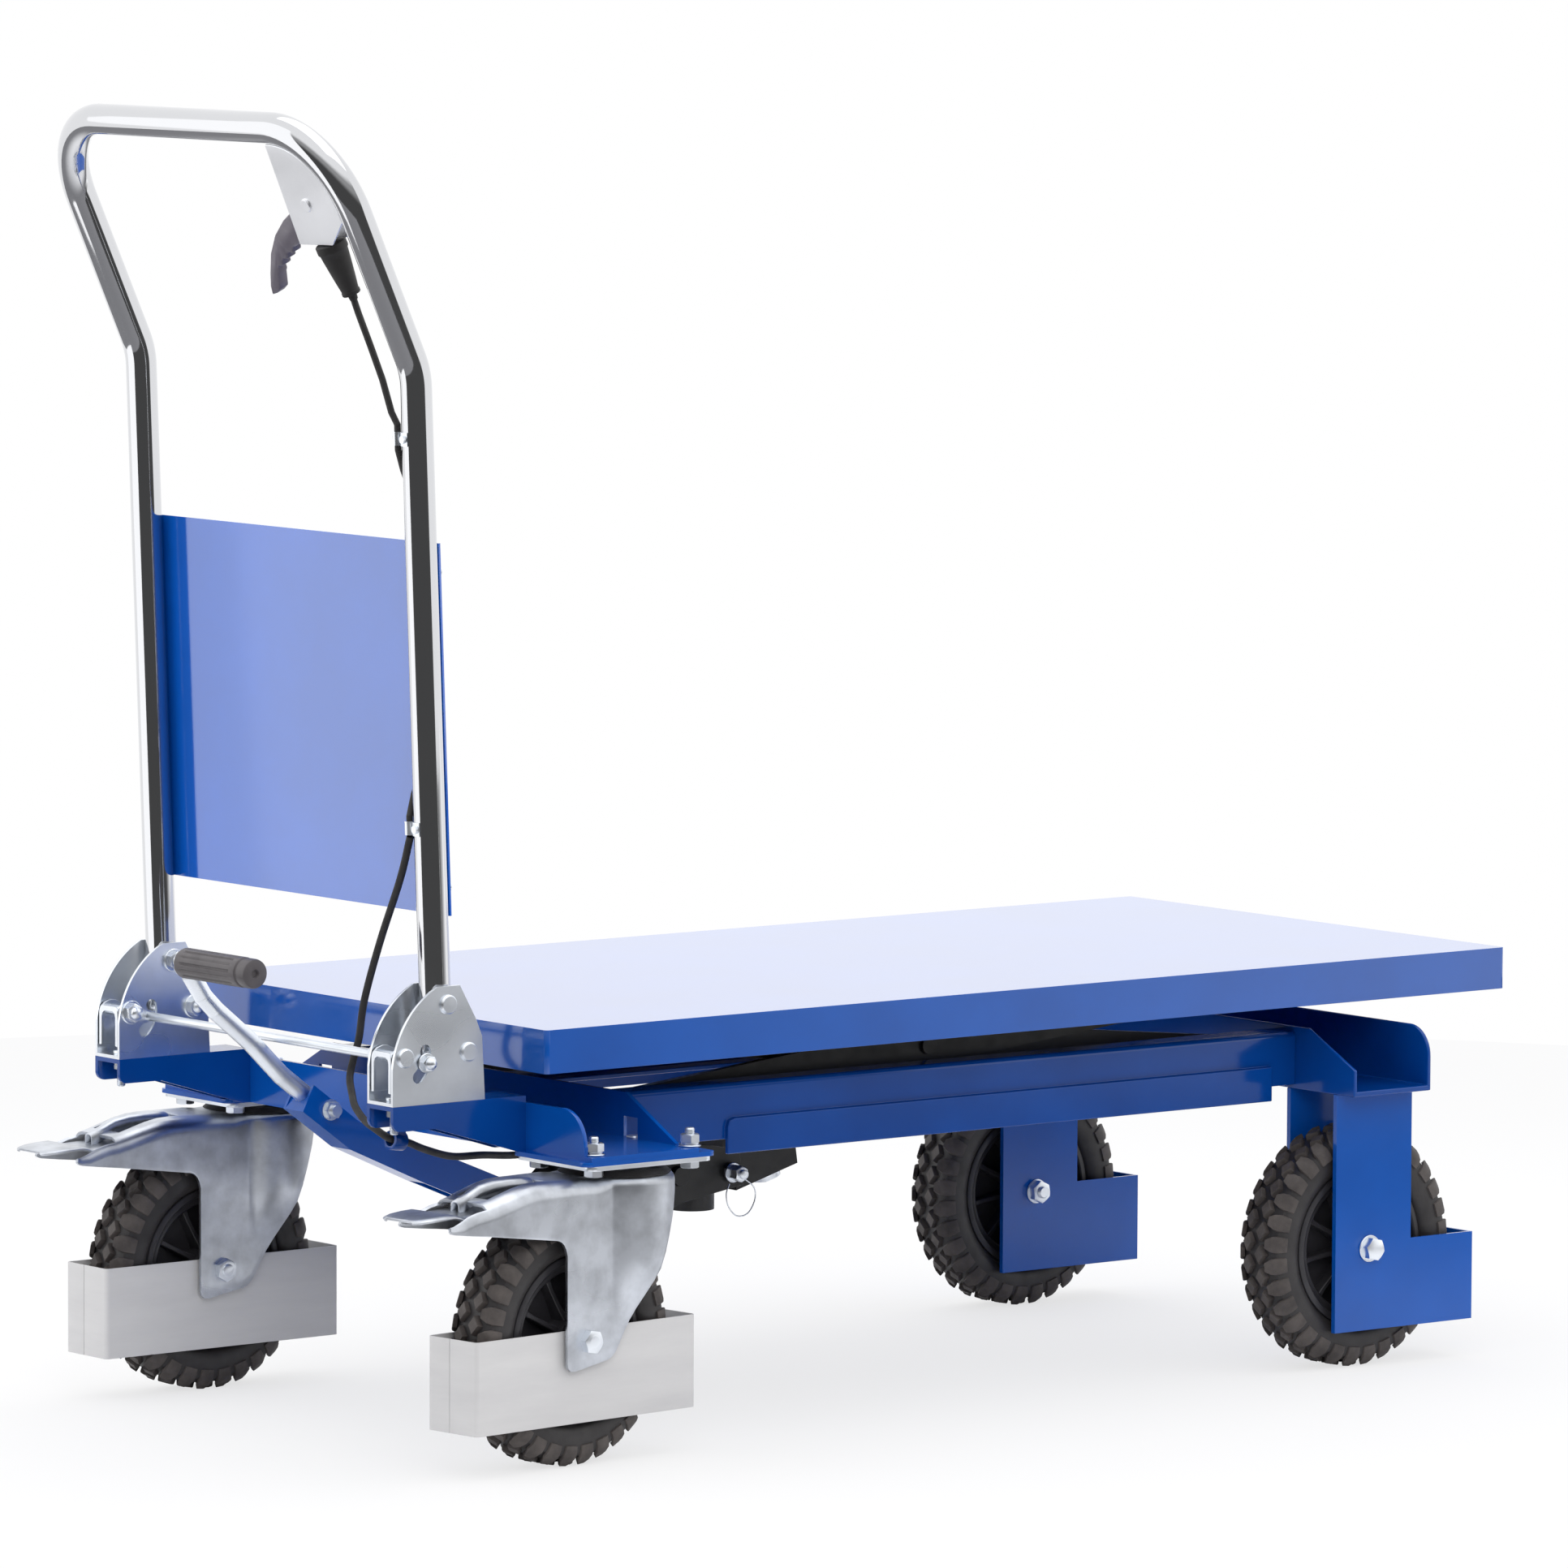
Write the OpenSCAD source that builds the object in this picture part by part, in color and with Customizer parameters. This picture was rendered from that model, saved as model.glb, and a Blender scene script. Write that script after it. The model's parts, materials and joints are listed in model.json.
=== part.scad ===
// Hydraulic scissor lift cart with a fold-down handle, foot pump and four wheels.
// Millimetres, +Z up, handle end toward -X, wheels standing on z = 0.

/* [Deck] */
// length of the sheet metal deck along X
deck_l = 1116; // [1090:2:1150]
// width of the deck across Y
deck_w = 546.6; // [520:1:560]
// height of the folded skirt round the deck
deck_skirt = 38.7; // [34:0.5:46]
// thickness of the deck sheet
deck_t = 2.5; // [1.5:0.25:3]
// free height between the side rails and the lowered deck
deck_clear = 30.6; // [28:0.5:45]

/* [Scissor] */
// pivot to pivot length of each scissor arm
arm_l = 700; // [660:5:720]
// height of the flat bar the arms are cut from
arm_h = 38; // [30:1:39]
// thickness of the arms
arm_t = 8; // [5:0.5:9]
// diameter of the scissor pins
pin_d = 16; // [12:1:18]

/* [Base frame] */
// outer half width over the side rails
rail_y = 220; // [216:1:222]
// height of the side rail channel
rail_h = 50; // [46:1:56]
// sheet thickness of the rails and cross beams
rail_t = 4; // [3:0.5:4]
// half length of the rear cross beam
rear_y = 303; // [296:1:310]

/* [Casters and wheels] */
// tread diameter of all four wheels
wheel_d = 224; // [212:2:226]
// width of the tyres
tyre_w = 56; // [48:1:57]
// height from the axle to the top of the caster plate
fork_h = 154; // [150:1:164]
// swivel offset from the king pin back to the axle
trail = 65.4; // [60:0.5:68]
// half distance between the caster centres
track_y = 271.7; // [268:0.5:276]
// caster plate length along X
plate_l = 135; // [130:1:138]
// caster plate width across Y
plate_w = 110; // [106:1:112]
// bolt spacing along X on the caster plate
bolt_px = 105; // [103:0.5:105]
// bolt spacing across Y on the caster plate
bolt_py = 80; // [76:0.5:82]
// angle the right caster stands at
swivel_right = 5.96; // [-8:0.5:8]
// angle the left caster stands at
swivel_left = 0.64; // [-8:0.5:8]
// axle bolt diameter of all four wheels
axle_d = 12; // [10:0.5:14]

/* [Rear legs] */
// width of the leg plates along X
leg_w = 92; // [86:1:94]
// thickness of the leg plates
leg_t = 5; // [3:0.5:6]
// clear gap between a pair of leg plates
leg_gap = 60.6; // [60:0.5:64]

/* [Handle] */
// outside diameter of the handle tube
tube_d = 28; // [25:0.5:29]
// wall thickness of the handle tube
tube_t = 2; // [1.5:0.25:2.5]
// half distance between the two handle posts
post_y = 209.6; // [207:0.5:212]
// backward lean of the posts
lean = 2.25; // [1:0.25:4]
// length of the posts from the fold pivot to the upper bend
post_l = 550.4; // [520:2:580]
// angle of the upper bend
bend_deg = 22.4; // [15:0.5:30]
// length from the upper bend to the hand bar
upper_l = 231.5; // [220:1:250]
// height of the blue panel
panel_h = 326; // [280:2:360]
// height of the fold pivot over the handle arms
pivot_up = 86; // [86:0.5:90]
// diameter of the fold, pawl and stop bolts
hinge_d = 10; // [8:0.5:11]

/* [Foot pump] */
// height of the pedal grip over its pivot
pedal_z = 263; // [250:1:275]
// diameter of the ribbed pedal grip
grip_d = 27; // [22:1:30]
// outside diameter of the ram barrel
barrel_d = 48; // [42:1:50]
// diameter of the ram rod
rod_d = 28; // [22:1:30]

/* [Hidden] */
$fn = 72;
fit = 0.05;                                   // running clearance on radius
axle_z = wheel_d / 2;
frame_z = axle_z + fork_h;                    // underside of the base frame mounts
cx = -deck_l / 2 + 75.9;                      // caster centres
fx0 = cx - 65;                                // front cross beam, outer faces
fx1 = cx + 52.1;
axle_x = deck_l / 2 - 169.4;                  // rear axle
rx0 = axle_x - 40.9;                          // rear cross beam, outer faces
rx1 = rx0 + leg_w + 2;
rail_z = frame_z - 4;
rail_in = rail_y - 30;                        // inner edge of the rail flanges
zb = rail_z + rail_h / 2;                     // base pivots and base rollers
deck_z = rail_z + rail_h + deck_clear + deck_skirt;
track_h = 41;
track_t = 3.5;
zd = deck_z - deck_t - track_h / 2;           // deck pivots and deck rollers
xb = fx1 + 30;
th0 = asin((zd - zb) / arm_l);
xr = xb + arm_l * cos(th0);
mid = [(xb + xr) / 2, (zb + zd) / 2];
arm_y2 = rail_in - 25;                        // inner face of the outer arms
arm_y1 = arm_y2 - arm_t - 7;                  // inner face of the inner arms
base_roll_r = rail_h / 2 - rail_t - 0.1;
deck_roll_r = track_h / 2 - track_t - 0.1;
lug_y = rail_in - 6;
tube_r = tube_d / 2;
hx = -deck_l / 2 - 73.2;                      // fold pivot
arm_top = frame_z + 53;
hz = arm_top + pivot_up;
foot_l = 46;                                  // tube below the fold pivot
bend_r = 70;
corner_r = 80;
br_t = 3;                                     // handle bracket sheet
br_in = 16;                                   // half of the clear bracket width
br_out = br_in + br_t;
pawl = [-46, -44];                            // from the fold pivot, in X and Z
stop = [8 + tube_r, -43];
rod_reach = 22.5;
rod_ang = -14;
lock_d = 8;
rod_c = pawl + rod_reach * [cos(rod_ang), sin(rod_ang)];
ft = frame_z - 16;                            // top of the caster fork
fork_y = 36;
fork_t = 3;
guard_y = 31.6;
ram = [fx1 + 195, frame_z - 63];              // ram foot pin
push = mid + 50 * [cos(th0), -sin(th0)];      // cross tube the ram lifts
ram_l = norm(push - ram);
ram_a = atan2(push[1] - ram[1], push[0] - ram[0]);
tube_x = 15;                                  // cross tube radius
pedal = [fx1 + 85, frame_z - 99];             // pedal pivot
rim_r = 74;
hub_w = 29;                                   // half of the hub's length
rear_wheel_y = track_y + 7.3 - leg_t - leg_gap / 2;
clip_up = 493;                                // cable clips, up the post from the fold pivot
clip_low = 153;
cab_r = 3;                                    // cable down the post, and the sleeved one below it
low_r = 3.4;
up_len = bend_r * tan(bend_deg / 2);
bar_x = hx - post_l * sin(lean) - upper_l * sin(lean + bend_deg);
grip = [hx - 128, pedal[1] + pedal_z];        // pedal grip axis
dx = -(min(bar_x - tube_r, grip[0] - grip_d / 2) + deck_l / 2) / 2;   // centres the whole cart on x = 0

// centre line of the pedal tube in X and Z, from the grip down to the arm, and its clamp bolt
ped = [grip + [-1, 1], grip + [7, -5], grip + [15, -13], [hx - 100, frame_z + 131],
  [hx - 87, frame_z + 118], [hx - 49, frame_z + 87], [hx - 16, frame_z + 55], [hx + 39, frame_z + 13.5]];
clamp = [hx + 27, frame_z + 22.6];

// release cable in the frame of the handle: from the boot to the post, then along it between the clips
boot_end = post_l + (upper_l - 161) * cos(bend_deg);
upper_route = [for (q = [[-27, 52, boot_end], [-24, 49, boot_end - 14], [-18, 40, boot_end - 44],
  [-14, 30, boot_end - 72], [-12, 21, boot_end - 100], [-10, 15.5, clip_up + 12], [-10, 15.5, clip_up - 10],
  [-3, 18.5, clip_up - 28], [8, 16.5, clip_up - 60], [9, 16, clip_low + 60], [-2, 19, clip_low + 28],
  [-10, 15.5, clip_low + 10], [-10, 15.5, clip_low - 6]]) q - [0, post_y, 0]];

// from the lower clip through the guide ring to the pump valve
lower_route = [[hx - 15.6, -post_y + 15.5, hz + 144.9], [hx - 13, -post_y + 34, hz + 106],
  [hx - 10, -post_y + 68, hz + 48], [hx - 9, -post_y + 92.6, hz - 5], [hx - 9, -post_y + 101, hz - 40],
  [hx - 10, -post_y + 109, hz - 62], [hx - 15, -post_y + 106.6, hz - 76], [hx - 23, -post_y + 92, hz - 88],
  [hx - 31, -post_y + 76, hz - 97], [hx - 37, -post_y + 53, hz - 106.5], [hx - 39, -post_y + 34, hz - 112],
  [hx - 35, -post_y + 22.5, hz - 118], [hx - 25, -post_y + 22.1, frame_z + 17.4],
  [hx - 12, -post_y + 23.6, frame_z + 14.5], [hx + 19, -post_y + 39.6, frame_z + 4],
  [hx + 65, -post_y + 63.6, frame_z - 8], [fx0 + 30, -124, frame_z - 13], [fx1 - 10, -68, frame_z - 25],
  [fx1 + 45, -48, frame_z - 27], [fx1 + 76, -47.5, frame_z - 31], [pedal[0] + 20.8, -47, frame_z - 42]];

blue = [0.05, 0.16, 0.55];
zinc = [0.72, 0.76, 0.78];
black = [0.06, 0.06, 0.07];
steel = [0.6, 0.61, 0.62];
chrome = [0.86, 0.87, 0.88];
grey = [0.68, 0.69, 0.69];

// ---- helpers ----

// profile drawn in X and Z, from y0 to y0 + t
module side(y0, t) translate([0, y0 + t, 0]) rotate([90, 0, 0]) linear_extrude(t) children();

// profile drawn in Y and Z, from x0 to x0 + t
module front(x0, t) translate([x0, 0, 0]) rotate([90, 0, 90]) linear_extrude(t) children();

// profile drawn in X and Y, from z0 to z0 + t
module flat(z0, t) translate([0, 0, z0]) linear_extrude(t) children();

// both hands of a part that is drawn on the right, at negative Y
module pair() { children(); mirror([0, 1, 0]) children(); }

module rrect(l, w, r) {
  square([l - 2 * r, w], center = true);
  square([l, w - 2 * r], center = true);
  for (i = [-1, 1], j = [-1, 1]) translate([i * (l / 2 - r), j * (w / 2 - r)]) circle(r);
}

// flat bar with round ends between two points
module bar(a, b, r) {
  d = b - a;
  translate(a) rotate(atan2(d[1], d[0])) {
    translate([0, -r]) square([norm(d), 2 * r]);
    circle(r);
    translate([norm(d), 0]) circle(r);
  }
}

// round rod between two points
module rod(a, b, r) {
  d = b - a;
  translate(a) rotate([0, acos(d[2] / norm(d)), atan2(d[1], d[0])]) cylinder(h = norm(d), r = r);
}

// bent round bar through a list of points
module bent_rod(p, r) {
  for (i = [0 : len(p) - 2]) rod(p[i], p[i + 1], r);
  for (i = [1 : len(p) - 2]) translate(p[i]) sphere(r * 1.012, $fn = 48);
}

function unit(v) = v / norm(v);

// sideways direction at each point, carried along the tangents t without twist
function carried(t, u, i = 0) = i == len(t) ? [] :
  let (w = unit(u - (u * t[i]) * t[i])) concat([w], carried(t, w, i + 1));

// soft cable swept through a list of points
module cable(p, r, sides = 12) {
  n = len(p);
  t = [for (i = [0 : n - 1]) unit(p[min(i + 1, n - 1)] - p[max(i - 1, 0)])];
  u = carried(t, [1, 0, 0]);
  ring = [for (i = [0 : n - 1], k = [0 : sides - 1])
    p[i] + r * (cos(360 * k / sides) * u[i] + sin(360 * k / sides) * cross(t[i], u[i]))];
  polyhedron(ring, concat([[for (k = [0 : sides - 1]) k]],
    [for (i = [0 : n - 2], k = [0 : sides - 1]) let (j = (k + 1) % sides)
      [i * sides + k, (i + 1) * sides + k, (i + 1) * sides + j, i * sides + j]],
    [[for (k = [sides - 1 : -1 : 0]) (n - 1) * sides + k]]));
}

// cylinder along Y from y0 to y1 at a point in X and Z
module ycyl(p, y0, y1, r) translate([p[0], y1, p[1]]) rotate([90, 0, 0]) cylinder(h = y1 - y0, r = r);

// six sided head or nut along Y, across flats af
module yhex(p, y0, y1, af)
  translate([p[0], y1, p[1]]) rotate([90, 0, 0]) linear_extrude(y1 - y0) circle(af / 2 / cos(30), $fn = 6);

module zhex(p, z0, h, af)
  translate([p[0], p[1], z0]) linear_extrude(h) circle(af / 2 / cos(30), $fn = 6);

module at_caster(s)
  translate([cx, s * track_y, 0]) rotate([0, 0, s < 0 ? swivel_right : swivel_left]) children();

module bolt_grid()
  for (i = [-1, 1], j = [-1, 1]) translate([i * bolt_px / 2, j * bolt_py / 2, 0]) children();

// frame of the handle: origin at the fold pivot, Z up the leaning posts
module on_handle() translate([hx, 0, hz]) rotate([0, -lean, 0]) children();

// frame of the upper handle: origin at the bend, Z toward the hand bar
module on_upper() on_handle() translate([0, 0, post_l]) rotate([0, -bend_deg, 0]) children();

module shift() translate([dx, 0, 0]) children();

// ---- base frame ----

module front_crossbeam() color(blue) shift() difference() {
  union() {
    translate([fx0, -track_y - 54, frame_z + 4]) cube([fx1 - fx0, 2 * track_y + 108, rail_t]);
    pair() translate([0, -track_y, 0]) flat(frame_z, 4) translate([cx, 0]) rrect(plate_l + 9, 109, 8);
    front(fx0, rail_t) {
      translate([-track_y - 10, frame_z + 4]) square([2 * track_y + 20, 43]);
      translate([-track_y - 43, frame_z + 4]) square([2 * track_y + 86, 12]);
      for (s = [-1, 1]) translate([s * (track_y + 10), frame_z + 15]) intersection() {
        circle(32.5);
        translate([s > 0 ? 0 : -33, -3]) square([33, 36]);
      }
    }
    front(fx1 - rail_t, rail_t) polygon([[-track_y - 25, frame_z + 4], [track_y + 25, frame_z + 4],
      [track_y + 25, frame_z + 9], [track_y - 48, frame_z + 47], [48 - track_y, frame_z + 47],
      [-track_y - 25, frame_z + 9]]);
  }
  pair() translate([cx, -track_y, 0]) bolt_grid() translate([0, 0, frame_z - 1]) cylinder(h = 20, r = 5.3);
  // relief round the inner bolts in the flange
  pair() translate([cx + bolt_px / 2, -track_y + bolt_py / 2, frame_z + 8]) cylinder(h = 18, r = 11);
}

module rear_crossbeam() color(blue) shift() {
  translate([rx0, -rear_y, rail_z - 4]) cube([rx1 - rx0, 2 * rear_y, leg_t]);
  front(rx0, rail_t) polygon([[-rear_y, rail_z - 4], [rear_y, rail_z - 4], [rear_y, rail_z + 21],
    [rear_y - 66, rail_z + 54], [66 - rear_y, rail_z + 54], [-rear_y, rail_z + 21]]);
  front(rx1 - rail_t, rail_t) {
    translate([-rear_y, rail_z - 4]) square([2 * rear_y, 32]);
    translate([28 - rear_y, rail_z - 4]) square([2 * rear_y - 56, 60]);
    for (s = [-1, 1]) translate([s * (rear_y - 28), rail_z + 28]) circle(28);
  }
}

module side_rail() shift() {
  l = rx0 - fx1;
  difference() {
    front(fx1, l) difference() {
      union() {
        translate([-rail_y + 5, rail_z]) square([25, rail_h]);
        translate([-rail_y, rail_z]) square([30, rail_h - 5]);
        translate([-rail_y + 5, rail_z + rail_h - 5]) circle(5);
      }
      translate([-rail_y + rail_t, rail_z + rail_t]) square([40, rail_h - 2 * rail_t]);
    }
    // notch for the caster plate
    translate([fx1 - 1, -rail_y - 1, rail_z - 1])
      cube([cx + plate_l / 2 + 6 - fx1, rail_t + 1, frame_z + 5 + fit - rail_z]);
  }
  // stiffening strip on the outer face
  side(-rail_y - 4.5, 4.5) polygon([[fx1 + 110, rail_z - 13], [rx0 - 32, rail_z - 13], [rx0 - 32, rail_z + 19],
    [fx1 + 118, rail_z + 19], [fx1 + 112, rail_z + 17], [fx1 + 110, rail_z + 11]]);
  // lug for the fixed foot of the scissor
  difference() {
    side(-lug_y - 6, 6) translate([xb - 24, rail_z]) square([48, rail_h - 2]);
    ycyl([xb, zb], -lug_y - 8, -lug_y + 8, pin_d / 2 + 0.02);
  }
}

module side_rail_right() color(blue) side_rail();
module side_rail_left() color(blue) mirror([0, 1, 0]) side_rail();

module handle_arms() color(blue) shift() {
  pair() difference() {
    side(-post_y - 19.5, 39) {
      polygon([[hx - 59, arm_top], [fx0, arm_top], [fx0, frame_z + 4], [fx0 - 8, frame_z + 4],
        [hx - 14, arm_top - 22], [hx - 51, arm_top - 22], [hx - 59, arm_top - 14]]);
      translate([hx - 51, arm_top - 14]) circle(8);
    }
    translate([hx - 70, -post_y - 15.5, 0]) cube([fx0 - hx + 71, 31, arm_top - rail_t]);
    for (x = [-44, 26]) translate([hx + x, -post_y, arm_top - 10]) cylinder(h = 20, r = 4.1);
  }
  // ring that guides the release cable, on a tab under the right arm
  difference() {
    union() {
      rod([hx - 33, -post_y + 21.2, frame_z + 18.4], [hx - 19, -post_y + 22.8, frame_z + 16.4], 8.5);
      translate([hx - 32, -post_y + 15.5, frame_z + 22]) cube([12, 4, 12]);
    }
    rod([hx - 40, -post_y + 20.4, frame_z + 19.4], [hx - 12, -post_y + 23.6, frame_z + 15.4], 5.4);
  }
}

// one U shaped rear leg with its wheel guard
module rear_leg() shift() {
  yo = track_y + 7.3;
  yi = yo - 2 * leg_t - leg_gap;
  z0 = axle_z - 76.3;
  for (y = [-yo, -yi - leg_t]) difference() {
    translate([rx0, y, z0]) cube([leg_w, leg_t, rail_z - 4 - z0]);
    ycyl([axle_x, axle_z], y - 1, y + leg_t + 1, axle_d / 2 + fit);
  }
  for (y = [-yo, -yi - 3]) translate([rx0 + leg_w, y, z0]) cube([76.4, 3, 82]);
  translate([rx0 + leg_w + 73.4, -yo, z0]) cube([3, yo - yi, 82]);
}

module rear_leg_right() color(blue) rear_leg();
module rear_leg_left() color(blue) mirror([0, 1, 0]) rear_leg();

// caster plates with their king pins
module caster_plates() color(zinc) shift() for (s = [-1, 1]) translate([cx, s * track_y, 0]) {
  difference() {
    flat(frame_z - 4, 4) rrect(plate_l, plate_w, 8);
    bolt_grid() translate([0, 0, frame_z - 5]) cylinder(h = 8, r = 5.3);
  }
  translate([0, 0, ft + 7.5]) cylinder(h = 5, r = 34);
  translate([0, 0, ft - 9]) cylinder(h = 20, r = 10);
  translate([0, 0, ft - 9]) cylinder(h = 5.5, r = 15);
}

module swivel_seals() color(black) shift() for (s = [-1, 1]) translate([cx, s * track_y, 0])
  rotate_extrude() polygon([[20, ft + 0.6], [47, ft + 0.6], [50, ft + 3], [44, ft + 7.5], [20, ft + 7.5]]);

// bolts of the casters and of the rear wheels
module frame_bolts() color(zinc) shift() {
  pair() translate([cx, -track_y, 0]) bolt_grid() {
    translate([0, 0, frame_z - 6]) cylinder(h = 31, r = 5);
    zhex([0, 0], frame_z - 10.5, 6.5, 15);
    translate([0, 0, frame_z + 8]) cylinder(h = 1.5, r = 8.1);
    zhex([0, 0], frame_z + 9.5, 8, 15);
  }
  yo = track_y + 7.3;
  yi = yo - 2 * leg_t - leg_gap;
  pair() {
    ycyl([axle_x, axle_z], -yo - 4, -yi + 13, axle_d / 2);
    yhex([axle_x, axle_z], -yo - 11, -yo - 2, 19);
    ycyl([axle_x, axle_z], -yo - 2, -yo, 12.5);
    yhex([axle_x, axle_z], -yi, -yi + 10, 19);
  }
}

module base_pins() color(steel) shift() pair() {
  ycyl([xb, zb], -rail_in - 4, -arm_y2 + 4, pin_d / 2);
  ycyl([xb, zb], -arm_y2 + 0.6, -arm_y2 + 4, pin_d / 2 + 4);
}

// ---- handle brackets and lock ----

module bracket_outline() translate([hx, hz]) difference() {
  intersection() {
    polygon([[-59, -pivot_up], [40, -pivot_up], [37, -30], [30, -14], [13, 16], [-59, 16]]);
    union() {
      translate([29, -63]) circle(88.6, $fn = 160);
      translate([-59, -pivot_up]) square([99, 30]);
    }
  }
  circle(hinge_d / 2 + fit);
  translate(pawl) circle(hinge_d / 2 + fit);
  translate(stop) circle(hinge_d / 2 + fit);
  translate(pawl) arc_slot(rod_reach, 5.5, -52, 13);
}

// slot of half width w that follows a circle of radius r between two angles, with round ends
module arc_slot(r, w, a0, a1) polygon(concat(
  [for (a = [a0 : 5 : a1]) (r + w) * [cos(a), sin(a)]],
  [for (b = [15 : 30 : 165]) r * [cos(a1), sin(a1)] + w * [cos(a1 + b), sin(a1 + b)]],
  [for (a = [a1 : -5 : a0]) (r - w) * [cos(a), sin(a)]],
  [for (b = [195 : 30 : 345]) r * [cos(a0), sin(a0)] + w * [cos(a0 + b), sin(a0 + b)]]));

module handle_bracket() shift() {
  for (y = [-post_y - br_out, -post_y + br_in]) side(y, br_t) bracket_outline();
  difference() {
    translate([hx - 59, -post_y - br_in, arm_top]) cube([99, 2 * br_in, br_t]);
    for (x = [-44, 26]) translate([hx + x, -post_y, arm_top - 1]) cylinder(h = 6, r = 4.1);
  }
}

module handle_bracket_right() color(zinc) handle_bracket();
module handle_bracket_left() color(zinc) mirror([0, 1, 0]) handle_bracket();

// bolt with a flat outer head and a domed inner nut, through one bracket
module bracket_bolt(p) {
  q = [hx, hz] + p;
  r = hinge_d / 2;
  ycyl(q, -post_y - br_out - 1, -post_y + br_out + 6, r);
  ycyl(q, -post_y - br_out - 4, -post_y - br_out, r + 3.4);
  yhex(q, -post_y + br_out, -post_y + br_out + 6, 2 * r + 5);
  translate([q[0], -post_y + br_out + 5, q[1]]) sphere(r + 0.8);
}

module bracket_bolts() color(zinc) shift() pair() {
  for (p = [[0, 0], pawl, stop]) bracket_bolt(p);
  // sleeve the upright tube leans on
  difference() {
    ycyl([hx, hz] + stop, -post_y - br_in, -post_y + br_in, hinge_d / 2 + 1.2);
    ycyl([hx, hz] + stop, -post_y - br_in - 1, -post_y + br_in + 1, hinge_d / 2);
  }
  for (x = [-44, 26]) translate([hx + x, -post_y, 0]) {
    translate([0, 0, arm_top - 27]) cylinder(h = 30, r = 4);
    translate([0, 0, arm_top + br_t]) cylinder(h = 3.2, r = 7.5);
    zhex([0, 0], arm_top - 11, 7, 13);
  }
}

module lock_rod() color(zinc) shift() {
  q = [hx, hz] + rod_c;
  e = post_y + br_out;
  ycyl(q, -e - 9, e + 9, lock_d / 2);
  pair() {
    yhex(q, -e - 8, -e - 1, 13);
    translate([q[0], -e - 8, q[1]]) sphere(5.6);
  }
}

// spring loaded pawls inside the brackets, joined by the lock rod
module lock_pawls() color(zinc) shift() pair() {
  difference() {
    for (y = [-post_y - 14.6, -post_y + 12.1]) side(y, 2.5) translate([hx, hz]) {
      bar(pawl, rod_c, 6);
      translate(pawl) circle(9);
      translate([-58, -75]) square([17, 31]);
    }
    ycyl([hx, hz] + pawl, -post_y - 20, -post_y + 20, hinge_d / 2 + fit);
    ycyl([hx, hz] + rod_c, -post_y - 20, -post_y + 20, lock_d / 2);
  }
  translate([hx - 58, -post_y - 14.6, hz - 75]) cube([2.5, 29.2, 36]);
}

// ---- handle ----

// straight tube of length l along Z, and a bend of radius r that starts along Z and turns toward -X
module pipe(l) linear_extrude(l) difference() { circle(tube_r); circle(tube_r - tube_t); }

// drawn a little thinner, and by lead degrees longer at its first end and 0.4 at its last, so that it
// merges with the tubes
module bend(r, a, lead = 0.4) translate([-r, 0, 0]) rotate([90, 0, 0]) rotate([0, 0, -lead])
  rotate_extrude(angle = a + lead + 0.4) translate([r, 0]) difference() {
    circle(tube_r - 0.15);
    circle(tube_r - tube_t + 0.15);
  }

module handle_posts() color(chrome) shift() difference() {
  pair() {
    on_handle() translate([0, -post_y, 0]) {
      translate([0, 0, -foot_l]) pipe(foot_l + post_l - up_len);
      translate([0, 0, post_l - up_len]) bend(bend_r, bend_deg);
    }
    on_upper() translate([0, -post_y, up_len]) pipe(upper_l - corner_r - up_len);
  }
  ycyl([hx, hz], -post_y - 30, post_y + 30, hinge_d / 2 + fit);
  panel_points() rotate([0, 90, 0]) cylinder(h = 8, r = 2.55);
}

// hand bar with its two round corners
module hand_bar() color(chrome) shift() on_upper() {
  pair() translate([0, -post_y, upper_l - corner_r]) rotate([0, 0, -90]) bend(corner_r, 90, 0);
  translate([0, corner_r - post_y, upper_l]) rotate([-90, 0, 0]) pipe(2 * (post_y - corner_r));
}

module panel_points() on_handle() for (s = [-1, 1], z = [25, panel_h - 25])
  translate([tube_r - 6, s * post_y, 75 + z]) children();

module handle_panel() color(blue) shift() difference() {
  on_handle() translate([tube_r, -post_y - 6.4, 75]) cube([2, 2 * post_y + 12.8, panel_h]);
  panel_points() rotate([0, 90, 0]) cylinder(h = 20, r = 2.55);
}

module panel_screws() color(zinc) shift() {
  panel_points() rotate([0, 90, 0]) cylinder(h = 9, r = 2.5);
  panel_points() translate([8, 0, 0]) rotate([0, 90, 0]) cylinder(h = 2.2, r = 4.6);
}

// two plates welded into the corner bend, with the rivet the lever turns on
module trigger_bracket() color(zinc) shift() on_upper() translate([0, -post_y, upper_l]) {
  w = sqrt(tube_r * tube_r - 49) + 0.05;
  for (x = [-9, 7]) front(x, 2) intersection() {
    polygon([[85, -10], [88.6, -108], [39.6, -107], [10, -82], [0, -60], [0, 0], [40, 0]]);
    union() {
      translate([corner_r, -corner_r]) circle(corner_r - w);
      translate([w, -150]) square([120, 150 - corner_r]);
      translate([corner_r, -150]) square([60, 150 - w]);
    }
  }
  translate([-10.8, 56, -69]) rotate([0, 90, 0]) cylinder(h = 1.8, r = 6);
  translate([-9, 56, -69]) rotate([0, 90, 0]) cylinder(h = 19.5, r = 4);
}

module release_lever() color(black) shift() on_upper() translate([0, -post_y, upper_l]) difference() {
  front(-5.5, 11) polygon([[56, -57], [64, -60], [85, -76], [108, -88], [129, -103], [146, -121], [158, -140],
    [165, -153], [167, -162], [152, -156], [146, -142], [139, -133], [128, -126], [118, -121], [108, -116],
    [95, -109], [80, -99], [56, -82], [47, -78], [43, -69], [47, -60]]);
  translate([-6, 56, -69]) rotate([0, 90, 0]) cylinder(h = 12, r = 4 + fit);
}

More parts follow.
